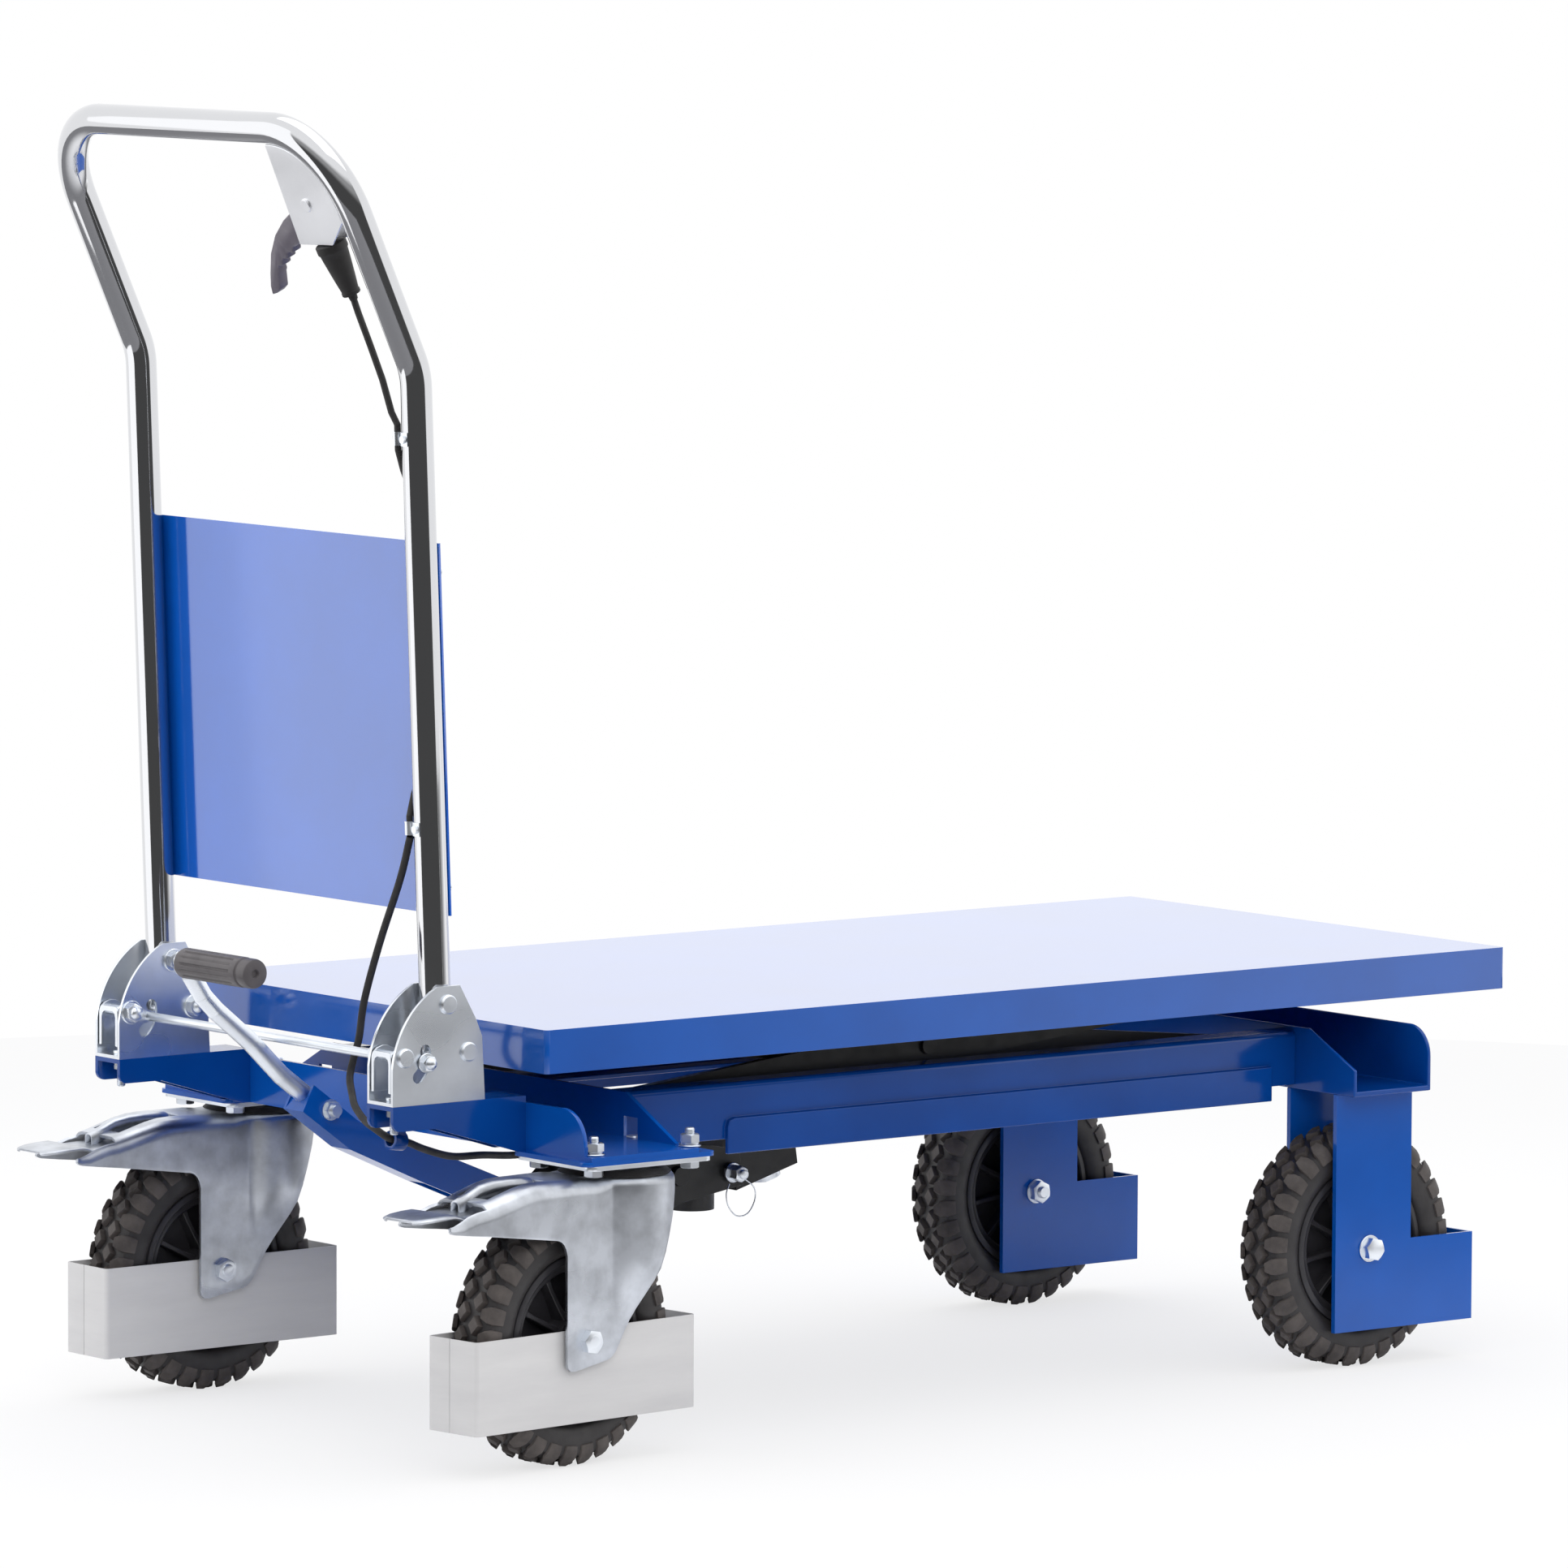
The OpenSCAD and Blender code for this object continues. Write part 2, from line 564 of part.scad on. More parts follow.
// rubber boot over the end of the cable
module cable_boot() color(black) shift() on_upper()
  translate([0, -post_y + 55.5, upper_l - 110.7]) rotate([4, 0, 0])
  difference() {
    translate([0, 0, -48]) {
      cylinder(h = 4, r = 8.4);
      translate([0, 0, 4]) cylinder(h = 38, r1 = 8, r2 = 13);
      translate([0, 0, 42]) cylinder(h = 8, r = 14);
    }
    translate([0, 0, -60]) cylinder(h = 40, r = 3.1);
  }

// cable down the post: along the hidden side between the two clips
module upper_cable() color(black) shift() on_handle() cable(upper_route, cab_r);

// clips hold the cable on the inner face of the post
module cable_clips() color(zinc) shift() on_handle() for (z = [clip_up, clip_low])
  translate([0, -post_y, z - 6]) {
    linear_extrude(12) difference() {
      union() {
        intersection() {
          circle(tube_r + 1.2);
          polygon([[0, 0], [-11, 30], [-30, 30], [-30, -9]]);
        }
        translate([-10, 15.5]) circle(cab_r + 1.6);
      }
      circle(tube_r + fit);
      translate([-10, 15.5]) circle(cab_r + fit);
    }
    translate([-tube_r - 3.4, 0, 6]) rotate([0, 90, 0]) cylinder(h = 2.8, r = 3.4);
  }

// flexible cable from the lower clip through the guide ring to the pump valve
module lower_cable() color(black) shift() cable(lower_route, low_r);

// ---- scissor and deck ----

module outer_arms() color(black) shift() pair() {
  difference() {
    side(-arm_y2 - arm_t, arm_t) bar([xb, zb], [xr, zd], arm_h / 2);
    ycyl([xb, zb], -arm_y2 - 20, -arm_y2 + 1, pin_d / 2 + fit);
  }
  ycyl(mid, -arm_y2 - arm_t - 3, -arm_y1 + 3, pin_d / 2);
  ycyl([xr, zd], -rail_in - 22.2, -arm_y2 + 3, pin_d / 2);
}

module inner_arms() color(black) shift() {
  pair() {
    difference() {
      side(-arm_y1 - arm_t, arm_t) bar([xb, zd], [xr, zb], arm_h / 2);
      ycyl(mid, -arm_y1 - 20, -arm_y1 + 1, pin_d / 2 + fit);
      ycyl([xb, zd], -arm_y1 - 20, -arm_y1 + 1, pin_d / 2 + fit);
    }
    ycyl([xr, zb], -rail_in - 22.2, -arm_y1 + 3, pin_d / 2);
  }
  ycyl(push, -arm_y1, arm_y1, tube_x);
}

module roller(p, r) difference() {
  ycyl(p, -rail_in - 22, -rail_in - 4, r);
  ycyl(p, -rail_in - 24, -rail_in - 2, pin_d / 2 + fit);
}

module base_rollers() color(steel) shift() pair() roller([xr, zb], base_roll_r);
module deck_rollers() color(steel) shift() pair() roller([xr, zd], deck_roll_r);

module platform() color(blue) shift() {
  difference() {
    flat(deck_z - deck_skirt, deck_skirt) rrect(deck_l, deck_w, 4);
    flat(deck_z - deck_skirt - 1, deck_skirt + 1 - deck_t) rrect(deck_l - 2 * deck_t, deck_w - 2 * deck_t, 2);
  }
  flat(deck_z - deck_skirt, deck_t) difference() {
    rrect(deck_l - 2 * deck_t, deck_w - 2 * deck_t, 2);
    rrect(deck_l - 28, deck_w - 28, 2);
  }
  // stiffening ribs under the sheet
  for (x = [mid[0] - 110, mid[0] + 25]) translate([x, -lug_y, deck_z - deck_t - 12]) cube([30, 2 * lug_y, 12]);
}

// channels the deck rollers run in, with the fixed lugs and pins of the scissor
module deck_tracks() color(black) shift() pair() {
  z0 = deck_z - deck_t - track_h;
  difference() {
    translate([xb - 30, -rail_y + 4, z0]) cube([xr - xb + 66, 27, track_h]);
    translate([xb - 31, -rail_y + 4 + track_t, z0 + track_t]) cube([xr - xb + 68, 30, track_h - 2 * track_t]);
  }
  side(-lug_y, 6) translate([xb - 24, zd - 17]) square([48, track_h / 2 + 17]);
  ycyl([xb, zd], -lug_y, -arm_y1 + 4, pin_d / 2);
  ycyl([xb, zd], -arm_y1 + 0.6, -arm_y1 + 4, pin_d / 2 + 4);
}

// ---- pump and ram ----

module on_ram() translate([ram[0], 0, ram[1]]) rotate([0, 90 - ram_a, 0]) children();

module pump_cradle() color(black) shift() {
  for (y = [-40, 34]) difference() {
    side(y, 6) polygon([[ram[0] - 70, frame_z + 7], [ram[0] - 30, frame_z + 7], [ram[0] - 8, ram[1] + 32],
      [ram[0] + 70, ram[1] + 20], [ram[0] + 76, ram[1] - 14], [ram[0] + 6, ram[1] - 25],
      [pedal[0] + 10, pedal[1] - 20], [pedal[0] - 20, pedal[1] - 12], [pedal[0] - 20, pedal[1] + 18],
      [ram[0] - 82, ram[1] + 24]]);
    ycyl(ram, y - 1, y + 7, 9 + fit);
    ycyl(pedal, y - 1, y + 7, 8 + fit);
  }
  for (y = [-rail_in, 40]) translate([ram[0] - 65, y, frame_z - 16]) cube([35, rail_in - 40, 24]);
  translate([pedal[0] + 51, -34, frame_z - 16]) cube([28, 68, 24]);
  ycyl(ram, -46, 46, 9);
  ycyl(pedal, -46, 46, 8);
}

// pump cylinder between the cradle plates, with the release valve the cable pulls
module pump_body() color(black) shift() difference() {
  union() {
    translate([pedal[0] + 22, -34, pedal[1] + 40]) cube([40, 68, 42]);
    translate([pedal[0] + 22, -54, pedal[1] + 46]) cube([20, 14, 22]);
  }
  translate([pedal[0] + 42, 0, pedal[1]]) cylinder(h = 120, r = 8 + fit);
}

module lynch_pin() color(zinc) shift() {
  q = ram + [60, 0];
  ycyl(q, -56, -40, 4);
  yhex(q, -49, -40, 15);
  translate([q[0], -53, q[1] - 18]) rotate([90, 0, -28]) rotate_extrude() translate([18, 0]) circle(1.2);
}

module ram_barrel() color(black) shift() {
  difference() {
    union() {
      on_ram() translate([0, 0, 12]) cylinder(h = 176, r = barrel_d / 2);
      on_ram() translate([0, 0, 184]) cylinder(h = 12, r = barrel_d / 2 + 2);
      ycyl(ram, -26, 26, 19);
    }
    ycyl(ram, -30, 30, 9 + fit);
    on_ram() translate([0, 0, 30]) cylinder(h = 156, r = barrel_d / 2 - 4);
    on_ram() translate([0, 0, 180]) cylinder(h = 30, r = rod_d / 2 + fit);
  }
}

module ram_rod() color(chrome) shift() {
  on_ram() translate([0, 0, 36]) cylinder(h = 20, r = barrel_d / 2 - 4 - fit);
  on_ram() translate([0, 0, 50]) cylinder(h = ram_l - 78, r = rod_d / 2);
  difference() {
    on_ram() translate([-19, -22, ram_l - 30]) cube([38, 44, 26]);
    ycyl(push, -30, 30, tube_x + 1.5);
  }
}

module oil_block() color(black) shift() difference() {
  union() {
    side(-27, 54) polygon([[ram[0] + 77, ram[1] - 21], [ram[0] + 148, ram[1] - 1],
      [ram[0] + 139, ram[1] + 60], [ram[0] + 77, ram[1] + 40]]);
    translate([ram[0] + 46, 0, ram[1] - 38]) cylinder(h = 45, r = 21);
  }
  on_ram() cylinder(h = 190, r = barrel_d / 2);
  on_ram() translate([0, 0, 183]) cylinder(h = 30, r = barrel_d / 2 + 2);
}

module drain_plug() color(zinc) shift()
  translate([ram[0] + 77, 0, ram[1] - 21]) rotate([0, -atan2(20, 71), 0]) translate([53, 0, -9]) {
    cylinder(h = 9, r = 15);
    translate([0, 0, -3]) linear_extrude(4) circle(8, $fn = 6);
  }

// pedal lever: an upward open channel from the pump pivot to the socket of the tube
module pedal_arm() color(blue) shift() {
  top = [[hx + 9, frame_z + 46], [hx + 58, frame_z + 10], [hx + 132, frame_z - 19], pedal + [0, 17]];
  low = [pedal + [0, -17], [hx + 132, frame_z - 52], [hx + 49, frame_z - 15], [hx - 3, frame_z + 23]];
  difference() {
    union() {
      for (y = [-15, 12]) side(y, 3) {
        polygon(concat(top, low));
        translate(pedal) circle(17);
        bar(pedal, pedal + [40, 1], 10);
      }
      side(-13, 26) polygon([low[1], low[2], low[3], low[3] + [2, 3], low[2] + [1.5, 3.4], low[1] + [1, 3.4]]);
      // saddle the pedal tube sits in
      side(-13, 26) polygon([low[2], low[3], low[3] + [9, 12], low[2] + [9, 12]]);
      translate([pedal[0] + 30, -13, pedal[1] - 5]) cube([20, 26, 14]);
    }
    ycyl(pedal, -20, 20, 8 + fit);
    tube_line(8.55);
    ycyl(clamp, -20, 20, 5 + fit);
  }
}

module tube_line(r) rod([ped[6][0], 0, ped[6][1]], [ped[7][0], 0, ped[7][1]], r);

// pedal tube with its clamp bolt and nut
module pedal_tube() color(zinc) shift() {
  bent_rod(concat([[grip[0], -108, grip[1]], [grip[0], -10, grip[1]]],
    [for (i = [1 : 7]) [ped[i][0], 0, ped[i][1]]]), 8.5);
  ycyl(clamp, -26, 20, 5);
  yhex(clamp, -22, -16.5, 14);
  ycyl(clamp, -16.5, -15, 9.5);
  yhex(clamp, 15, 20, 14);
}

module pedal_grip() color(black) shift() difference() {
  union() {
    ycyl(grip, -105, -13, grip_d / 2);
    ycyl(grip, -120, -105, grip_d / 2 - 1.5);
  }
  ycyl(grip, -108.1, -5, 8.5);
  translate([grip[0], -10, grip[1]]) sphere(8.7);
}

module pump_plunger() color(steel) shift()
  translate([pedal[0] + 42, 0, pedal[1] + 12.5]) cylinder(h = 58, r = 8);

// ---- casters and wheels ----

module fork() {
  top = [[35, ft], [-60, ft + 2], [-114, ft + 1], [-150, ft - 5], [-176, ft - 13]];
  difference() {
    union() {
      for (y = [-fork_y, fork_y - fork_t]) side(y, fork_t) {
        polygon(concat(top, [[-224, ft - 26], [-224, ft - 29], [-179, ft - 36], [-103, ft - 46], [-92, ft - 51],
          [-88, ft - 61], [-trail - 25.6, axle_z - 25], [-trail + 27.4, axle_z - 17], [-trail + 37.4, axle_z - 2],
          [8, ft - 79], [30, ft - 24]]));
      }
      side(-fork_y, 2 * fork_y) polygon(concat(top, [for (i = [4 : -1 : 0]) top[i] - [0, fork_t]]));
      translate([0, 0, ft - fork_t]) cylinder(h = fork_t, r = 50);
    }
    translate([0, 0, ft - 20]) cylinder(h = 40, r = 10 + fit);
    translate([0, 0, ft + 0.3]) cylinder(h = 40, r = 54);
    translate([-168, -20, ft - 30]) cube([66, 40, 60]);
    ycyl([-trail, axle_z], -60, 60, axle_d / 2 + fit);
  }
  ycyl([-89, ft - 22], -fork_y - 2, fork_y + 2, 4);
  for (y = [-fork_y - 2, fork_y]) ycyl([-89, ft - 22], y, y + 2, 7);
}

module fork_right() color(zinc) shift() at_caster(-1) fork();
module fork_left() color(zinc) shift() at_caster(1) fork();

module wheel_guard() difference() {
  translate([-trail - 125.6, -guard_y, axle_z - 72.3]) cube([260, 2 * guard_y, 82.5]);
  translate([-trail - 124.1, -guard_y + 1.5, axle_z - 80]) cube([257, 2 * guard_y - 3, 100]);
  ycyl([-trail, axle_z], -60, 60, axle_d / 2 + fit);
}

module wheel_guard_right() color(grey) shift() at_caster(-1) wheel_guard();
module wheel_guard_left() color(grey) shift() at_caster(1) wheel_guard();

module brake_lever() difference() {
  union() {
    side(-27, 54) polygon([[-100, ft - 18], [-150, ft - 19], [-205, ft - 21], [-237, ft - 16], [-237, ft - 19],
      [-205, ft - 24], [-150, ft - 22], [-100, ft - 21]]);
    side(-13, 26) polygon([[-136, ft - 20], [-118, ft - 20], [-121, ft + 1], [-127, ft + 1]]);
    for (y = [-27, 24]) side(y, 3) bar([-89, ft - 22], [-118, ft - 22], 7);
    ycyl([-89, ft - 22], -26, 26, 6);
  }
  ycyl([-89, ft - 22], -40, 40, 4 + fit);
}

module brake_lever_right() color(zinc) shift() at_caster(-1) brake_lever();
module brake_lever_left() color(zinc) shift() at_caster(1) brake_lever();

module axle_bolt() {
  a = [-trail, axle_z];
  ycyl(a, -fork_y - 4, fork_y + 11, axle_d / 2);
  yhex(a, -fork_y - 10.5, -fork_y - 1.5, 19);
  ycyl(a, -fork_y - 1.5, -fork_y, 12);
  ycyl(a, fork_y, fork_y + 1.5, 12);
  yhex(a, fork_y + 1.5, fork_y + 9, 19);
  // spacers between the guard and the fork cheeks
  for (y = [guard_y, -fork_y + fork_t]) difference() {
    ycyl(a, y, y + fork_y - fork_t - guard_y, 11);
    ycyl(a, y - 1, y + 6, axle_d / 2);
  }
}

module axle_bolt_right() color(zinc) shift() at_caster(-1) axle_bolt();
module axle_bolt_left() color(zinc) shift() at_caster(1) mirror([0, 1, 0]) axle_bolt();

// wheel parts with the axle along Y through the origin
module hub() rotate([90, 0, 0]) difference() {
  union() {
    rotate_extrude() polygon([[62, -22], [rim_r, -22], [rim_r, 22], [62, 22], [62, 12], [58, 7], [58, -7], [62, -12]]);
    cylinder(h = 8, r = 60, center = true);
    cylinder(h = 2 * hub_w, r = 19, center = true);
    for (a = [0 : 45 : 315]) rotate(a) translate([15, -2.5, -17]) cube([46, 5, 34]);
  }
  cylinder(h = 80, r = axle_d / 2 + fit, center = true);
}

module tyre() rotate([90, 0, 0]) rotate_extrude() {
  w = tyre_w / 2;
  r = axle_z;
  polygon([[rim_r, -w + 9], [rim_r + 4, -w + 3], [rim_r + 14, -w], [r - 12, -w], [r - 4, -w + 6], [r, -w + 15],
    [r, w - 15], [r - 4, w - 6], [r - 12, w], [rim_r + 14, w], [rim_r + 4, w - 3], [rim_r, w - 9]]);
}

module front_wheel(s) shift() at_caster(s) translate([-trail, 0, axle_z]) children();

module rear_wheel(s) shift() translate([axle_x, s * rear_wheel_y, axle_z]) children();

module hub_front_right() color(black) front_wheel(-1) hub();
module tyre_front_right() color(black) front_wheel(-1) tyre();
module hub_front_left() color(black) front_wheel(1) hub();
module tyre_front_left() color(black) front_wheel(1) tyre();
module hub_rear_right() color(black) rear_wheel(-1) hub();
module tyre_rear_right() color(black) rear_wheel(-1) tyre();
module hub_rear_left() color(black) rear_wheel(1) hub();
module tyre_rear_left() color(black) rear_wheel(1) tyre();

front_crossbeam();
rear_crossbeam();
side_rail_right();
side_rail_left();
handle_arms();
rear_leg_right();
rear_leg_left();
handle_bracket_right();
handle_bracket_left();
bracket_bolts();
caster_plates();
swivel_seals();
frame_bolts();
base_pins();
pump_cradle();
pump_body();
lynch_pin();
handle_posts();
hand_bar();
handle_panel();
panel_screws();
trigger_bracket();
cable_boot();
upper_cable();
cable_clips();
lower_cable();
release_lever();
lock_rod();
lock_pawls();
pedal_arm();
pedal_tube();
pedal_grip();
pump_plunger();
outer_arms();
inner_arms();
base_rollers();
deck_rollers();
platform();
deck_tracks();
ram_barrel();
oil_block();
drain_plug();
ram_rod();
fork_right();
wheel_guard_right();
brake_lever_right();
axle_bolt_right();
fork_left();
wheel_guard_left();
brake_lever_left();
axle_bolt_left();
hub_front_right();
tyre_front_right();
hub_front_left();
tyre_front_left();
hub_rear_right();
tyre_rear_right();
hub_rear_left();
tyre_rear_left();
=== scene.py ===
"""Scissor lift table cart: the looks of every surface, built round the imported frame. Lengths are in metres."""
import bpy
import json
import math
import random
from mathutils import Matrix, Vector

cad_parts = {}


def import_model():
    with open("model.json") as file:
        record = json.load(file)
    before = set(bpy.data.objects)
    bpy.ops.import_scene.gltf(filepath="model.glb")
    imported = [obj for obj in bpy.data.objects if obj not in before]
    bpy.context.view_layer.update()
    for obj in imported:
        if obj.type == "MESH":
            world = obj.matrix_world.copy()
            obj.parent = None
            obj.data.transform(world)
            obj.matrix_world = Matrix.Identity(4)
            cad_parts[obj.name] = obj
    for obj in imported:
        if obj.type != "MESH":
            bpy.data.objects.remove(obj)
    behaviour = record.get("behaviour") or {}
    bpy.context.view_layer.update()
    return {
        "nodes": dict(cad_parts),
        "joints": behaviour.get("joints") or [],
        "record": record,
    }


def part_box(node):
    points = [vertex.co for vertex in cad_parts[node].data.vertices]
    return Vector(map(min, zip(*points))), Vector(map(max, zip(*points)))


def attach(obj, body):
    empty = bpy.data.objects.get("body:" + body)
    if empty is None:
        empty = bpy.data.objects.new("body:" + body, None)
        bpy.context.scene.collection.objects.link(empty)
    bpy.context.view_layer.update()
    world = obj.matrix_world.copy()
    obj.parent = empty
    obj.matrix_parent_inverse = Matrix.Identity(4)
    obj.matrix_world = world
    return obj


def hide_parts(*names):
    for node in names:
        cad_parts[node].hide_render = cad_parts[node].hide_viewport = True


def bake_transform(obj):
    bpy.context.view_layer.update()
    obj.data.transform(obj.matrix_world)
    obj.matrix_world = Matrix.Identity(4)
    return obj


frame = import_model()
nodes = frame["nodes"]
MM = 0.001
SIDES = {"right": -1, "left": 1}


# ---- materials ----

class Nodes:
    """A node tree and short ways to add to it."""

    def __init__(self, tree):
        self.tree = tree

    def add(self, kind, **inputs):
        made = self.tree.nodes.new("ShaderNode" + kind)
        for key, value in inputs.items():
            made.inputs[key.replace("_", " ")].default_value = value
        return made

    def link(self, output, target):
        self.tree.links.new(output, target)

    def maths(self, operation, a, b):
        """Math node over two numbers or outputs."""
        made = self.add("Math")
        made.operation = operation
        for socket, value in zip(made.inputs, (a, b)):
            if isinstance(value, (int, float)):
                socket.default_value = value
            else:
                self.link(value, socket)
        return made.outputs[0]

    def span(self, value, low, high, start=0.0, finish=1.0, kind="SMOOTHSTEP"):
        """Goes from start to finish as value goes from low to high."""
        made = self.add("MapRange", From_Min=low, From_Max=high, To_Min=start, To_Max=finish)
        made.interpolation_type = kind
        self.link(value, made.inputs["Value"])
        return made.outputs["Result"]


class Shader(Nodes):
    """A Principled material."""

    def __init__(self, name, **values):
        self.mat = bpy.data.materials.new(name)
        self.mat.use_nodes = True
        super().__init__(self.mat.node_tree)
        self.bsdf = self.tree.nodes["Principled BSDF"]
        for key, value in values.items():
            socket = self.bsdf.inputs[key.replace("_", " ")]
            socket.default_value = (*value, 1) if isinstance(value, tuple) else value

    def noise(self, scale, detail=3.0, rough=0.5, stretch=(1, 1, 1)):
        """Noise in object coordinates; scale is in waves per metre."""
        coord = self.add("TexCoord")
        mapping = self.add("Mapping", Scale=stretch)
        made = self.add("TexNoise", Scale=scale, Detail=detail, Roughness=rough)
        self.link(coord.outputs["Object"], mapping.inputs["Vector"])
        self.link(mapping.outputs["Vector"], made.inputs["Vector"])
        return made.outputs["Fac"]

    def vary(self, socket, source, *stops):
        """Runs a socket over two (place, colour or grey) stops as source goes from 0 to 1."""
        made = self.add("ValToRGB")
        self.link(source, made.inputs["Fac"])
        for element, (place, value) in zip(made.color_ramp.elements, stops):
            element.position = place
            element.color = (*value, 1) if isinstance(value, tuple) else (value, value, value, 1)
        self.link(made.outputs["Color"], self.bsdf.inputs[socket])

    def bump(self, source, strength, distance):
        made = self.add("Bump", Strength=strength, Distance=distance)
        self.link(source, made.inputs["Height"])
        self.link(made.outputs["Normal"], self.bsdf.inputs["Normal"])

    def surface(self, output):
        self.link(output, self.tree.nodes["Material Output"].inputs["Surface"])


def powder_coat(name, deep, light, rough=0.12, gloss=0.0, ior=1.5):
    """Glossy powder coat: faint cloudiness, fine orange peel."""
    m = Shader(name, Roughness=rough, IOR=ior, Coat_Weight=gloss, Coat_Roughness=0.06, Coat_IOR=ior)
    m.vary("Base Color", m.noise(9, 4), (0.35, deep), (0.65, light))
    m.bump(m.noise(520, 2), 0.1, 0.0002)
    return m.mat


def zinc(name, tint=(0.88, 0.92, 0.975), rough=0.3, spangle=24, dim=0.91):
    """Zinc plate or plain metal: cloudy tint, soft patches of roughness, faint unevenness."""
    m = Shader(name, Metallic=1.0)
    m.vary("Base Color", m.noise(spangle, 4, 0.55), (0.35, tuple(c * dim for c in tint)), (0.62, tint))
    m.vary("Roughness", m.noise(12, 1, 0.4, (1, 1, 2)), (0.3, rough - 0.05), (0.7, rough + 0.08))
    m.bump(m.noise(70, 2), 0.05, 0.0003)
    return m.mat


def chrome(name):
    """Polished chrome with a few faint hazes."""
    m = Shader(name, Base_Color=(0.63, 0.636, 0.655), Metallic=1.0)
    m.vary("Roughness", m.noise(14, 4), (0.4, 0.06), (0.75, 0.1))
    return m.mat


def dark(name, low, high, rough, grain, bump):
    """Black plastic, rubber or satin paint, by its colours and grain."""
    m = Shader(name)
    m.vary("Base Color", m.noise(40, 5, 0.6), (0.35, low), (0.7, high))
    m.vary("Roughness", m.noise(70, 3), (0.3, rough - 0.08), (0.7, rough + 0.08))
    m.bump(m.noise(grain, 3), bump, 0.0004)
    return m.mat


def satin_paint(name, low, high, rough=0.42):
    """Pale satin paint with brushing that shows through it."""
    m = Shader(name)
    m.vary("Base Color", m.noise(26, 6, 0.65, (0.3, 0.3, 2)), (0.3, low), (0.7, high))
    m.vary("Roughness", m.noise(60, 3), (0.3, rough - 0.06), (0.7, rough + 0.06))
    m.bump(m.noise(700, 3), 0.12, 0.0003)
    return m.mat


BLUE = powder_coat("blue_powder_coat", (0.0015, 0.082, 0.41), (0.002, 0.096, 0.47))
DECK_BLUE = powder_coat("blue_deck_coat", (0.0015, 0.084, 0.42), (0.002, 0.098, 0.48), 0.1, 0.55, 1.6)
# painted light: a lighter copy of the blue coat for the handle panel, standing in for the bright light it catches;
# its stronger coat is real gloss
LIT_PANEL_BLUE = powder_coat("blue_panel_coat_painted_light", (0.0015, 0.115, 0.6), (0.002, 0.13, 0.68), 0.1, 0.9, 1.7)
# painted shade: a darker copy of the blue coat for the rails, the rear crossbeam and the handle arms, standing in for
# the shade they lie in
SHADED_BEAM_BLUE = powder_coat("blue_beam_coat_painted_shade", (0.001, 0.05, 0.27), (0.0015, 0.062, 0.325))
ZINC = zinc("bright_zinc")
GALVANISED = zinc("galvanised_fork", (0.65, 0.68, 0.735), 0.32, 30, 0.7)
CHROME = chrome("polished_chrome")
STEEL = zinc("turned_steel", (0.6, 0.6, 0.62), 0.3, 60)
BLACK = dark("satin_black_paint", (0.006, 0.006, 0.007), (0.011, 0.011, 0.012), 0.4, 600, 0.12)
PLASTIC = dark("moulded_black_plastic", (0.022, 0.021, 0.025), (0.034, 0.033, 0.038), 0.42, 1400, 0.15)
RUBBER = dark("black_rubber", (0.016, 0.015, 0.015), (0.028, 0.026, 0.026), 0.62, 1100, 0.3)
GRIP = dark("grey_grip_rubber", (0.092, 0.084, 0.09), (0.128, 0.117, 0.124), 0.45, 1300, 0.15)
TYRE = dark("tyre_rubber", (0.02, 0.018, 0.019), (0.034, 0.031, 0.032), 0.5, 500, 0.25)
TREAD = dark("worn_tread", (0.045, 0.038, 0.037), (0.1, 0.086, 0.08), 0.62, 420, 0.45)
PLATE = zinc("trigger_plate", (0.93, 0.94, 0.97), 0.34, 14, 0.95)
LEVER = dark("dark_grey_nylon", (0.125, 0.11, 0.142), (0.165, 0.148, 0.185), 0.45, 1300, 0.15)
GREY = satin_paint("grey_guard_paint", (0.6, 0.595, 0.605), (0.66, 0.655, 0.66))
BY_SLOT = {"blue_paint": BLUE, "zinc_plate": ZINC, "chrome": CHROME, "black_paint": BLACK, "black_plastic": PLASTIC,
           "black_rubber": RUBBER, "tyre": TYRE, "grey_paint": GREY, "machined_steel": STEEL}
BY_NODE = {"trigger_bracket": PLATE, "release_lever": LEVER, "pedal_grip": GRIP, "platform": DECK_BLUE,
           # painted light: the handle panel gets the lighter copy of the blue coat
           "handle_panel": LIT_PANEL_BLUE, **dict.fromkeys(
               # painted shade: these parts get the darker copy of the blue coat
               ("side_rail_right", "side_rail_left", "rear_crossbeam", "handle_arms"), SHADED_BEAM_BLUE)}
ROUND_EDGES = {  # radius of the bends and rims of the CAD's sheet parts
    name: width for width, names in (
        (0.0022, ("platform", "handle_arms")),
        (0.0012, ("front_crossbeam", "rear_crossbeam", "side_rail_right", "side_rail_left", "outer_arms",
                  "inner_arms", "oil_block")),
        (0.001, ("pedal_arm", "rear_leg_right", "rear_leg_left", "pump_body", "pump_cradle")),
        (0.0009, ("handle_panel", "handle_bracket_right", "handle_bracket_left", "deck_tracks")),
        (0.0008, ("caster_plates",)),
        (0.0006, ("trigger_bracket", "lock_pawls"))) for name in names}


def bevel(obj, name, width, angle):
    """Rounds the edges sharper than angle degrees."""
    edge = obj.modifiers.new(name, "BEVEL")
    edge.width = width
    edge.segments = 2
    edge.limit_method = "ANGLE"
    edge.angle_limit = math.radians(angle)
    return edge


def sheet(obj, thickness, offset=-1, rim=0.0, angle=50):
    """Gives a bare surface the thickness of its sheet, and rounds the rims where rim is set."""
    shell = obj.modifiers.new("sheet", "SOLIDIFY")
    shell.thickness = thickness
    shell.offset = offset
    if rim:
        bevel(obj, "rim", rim, angle)


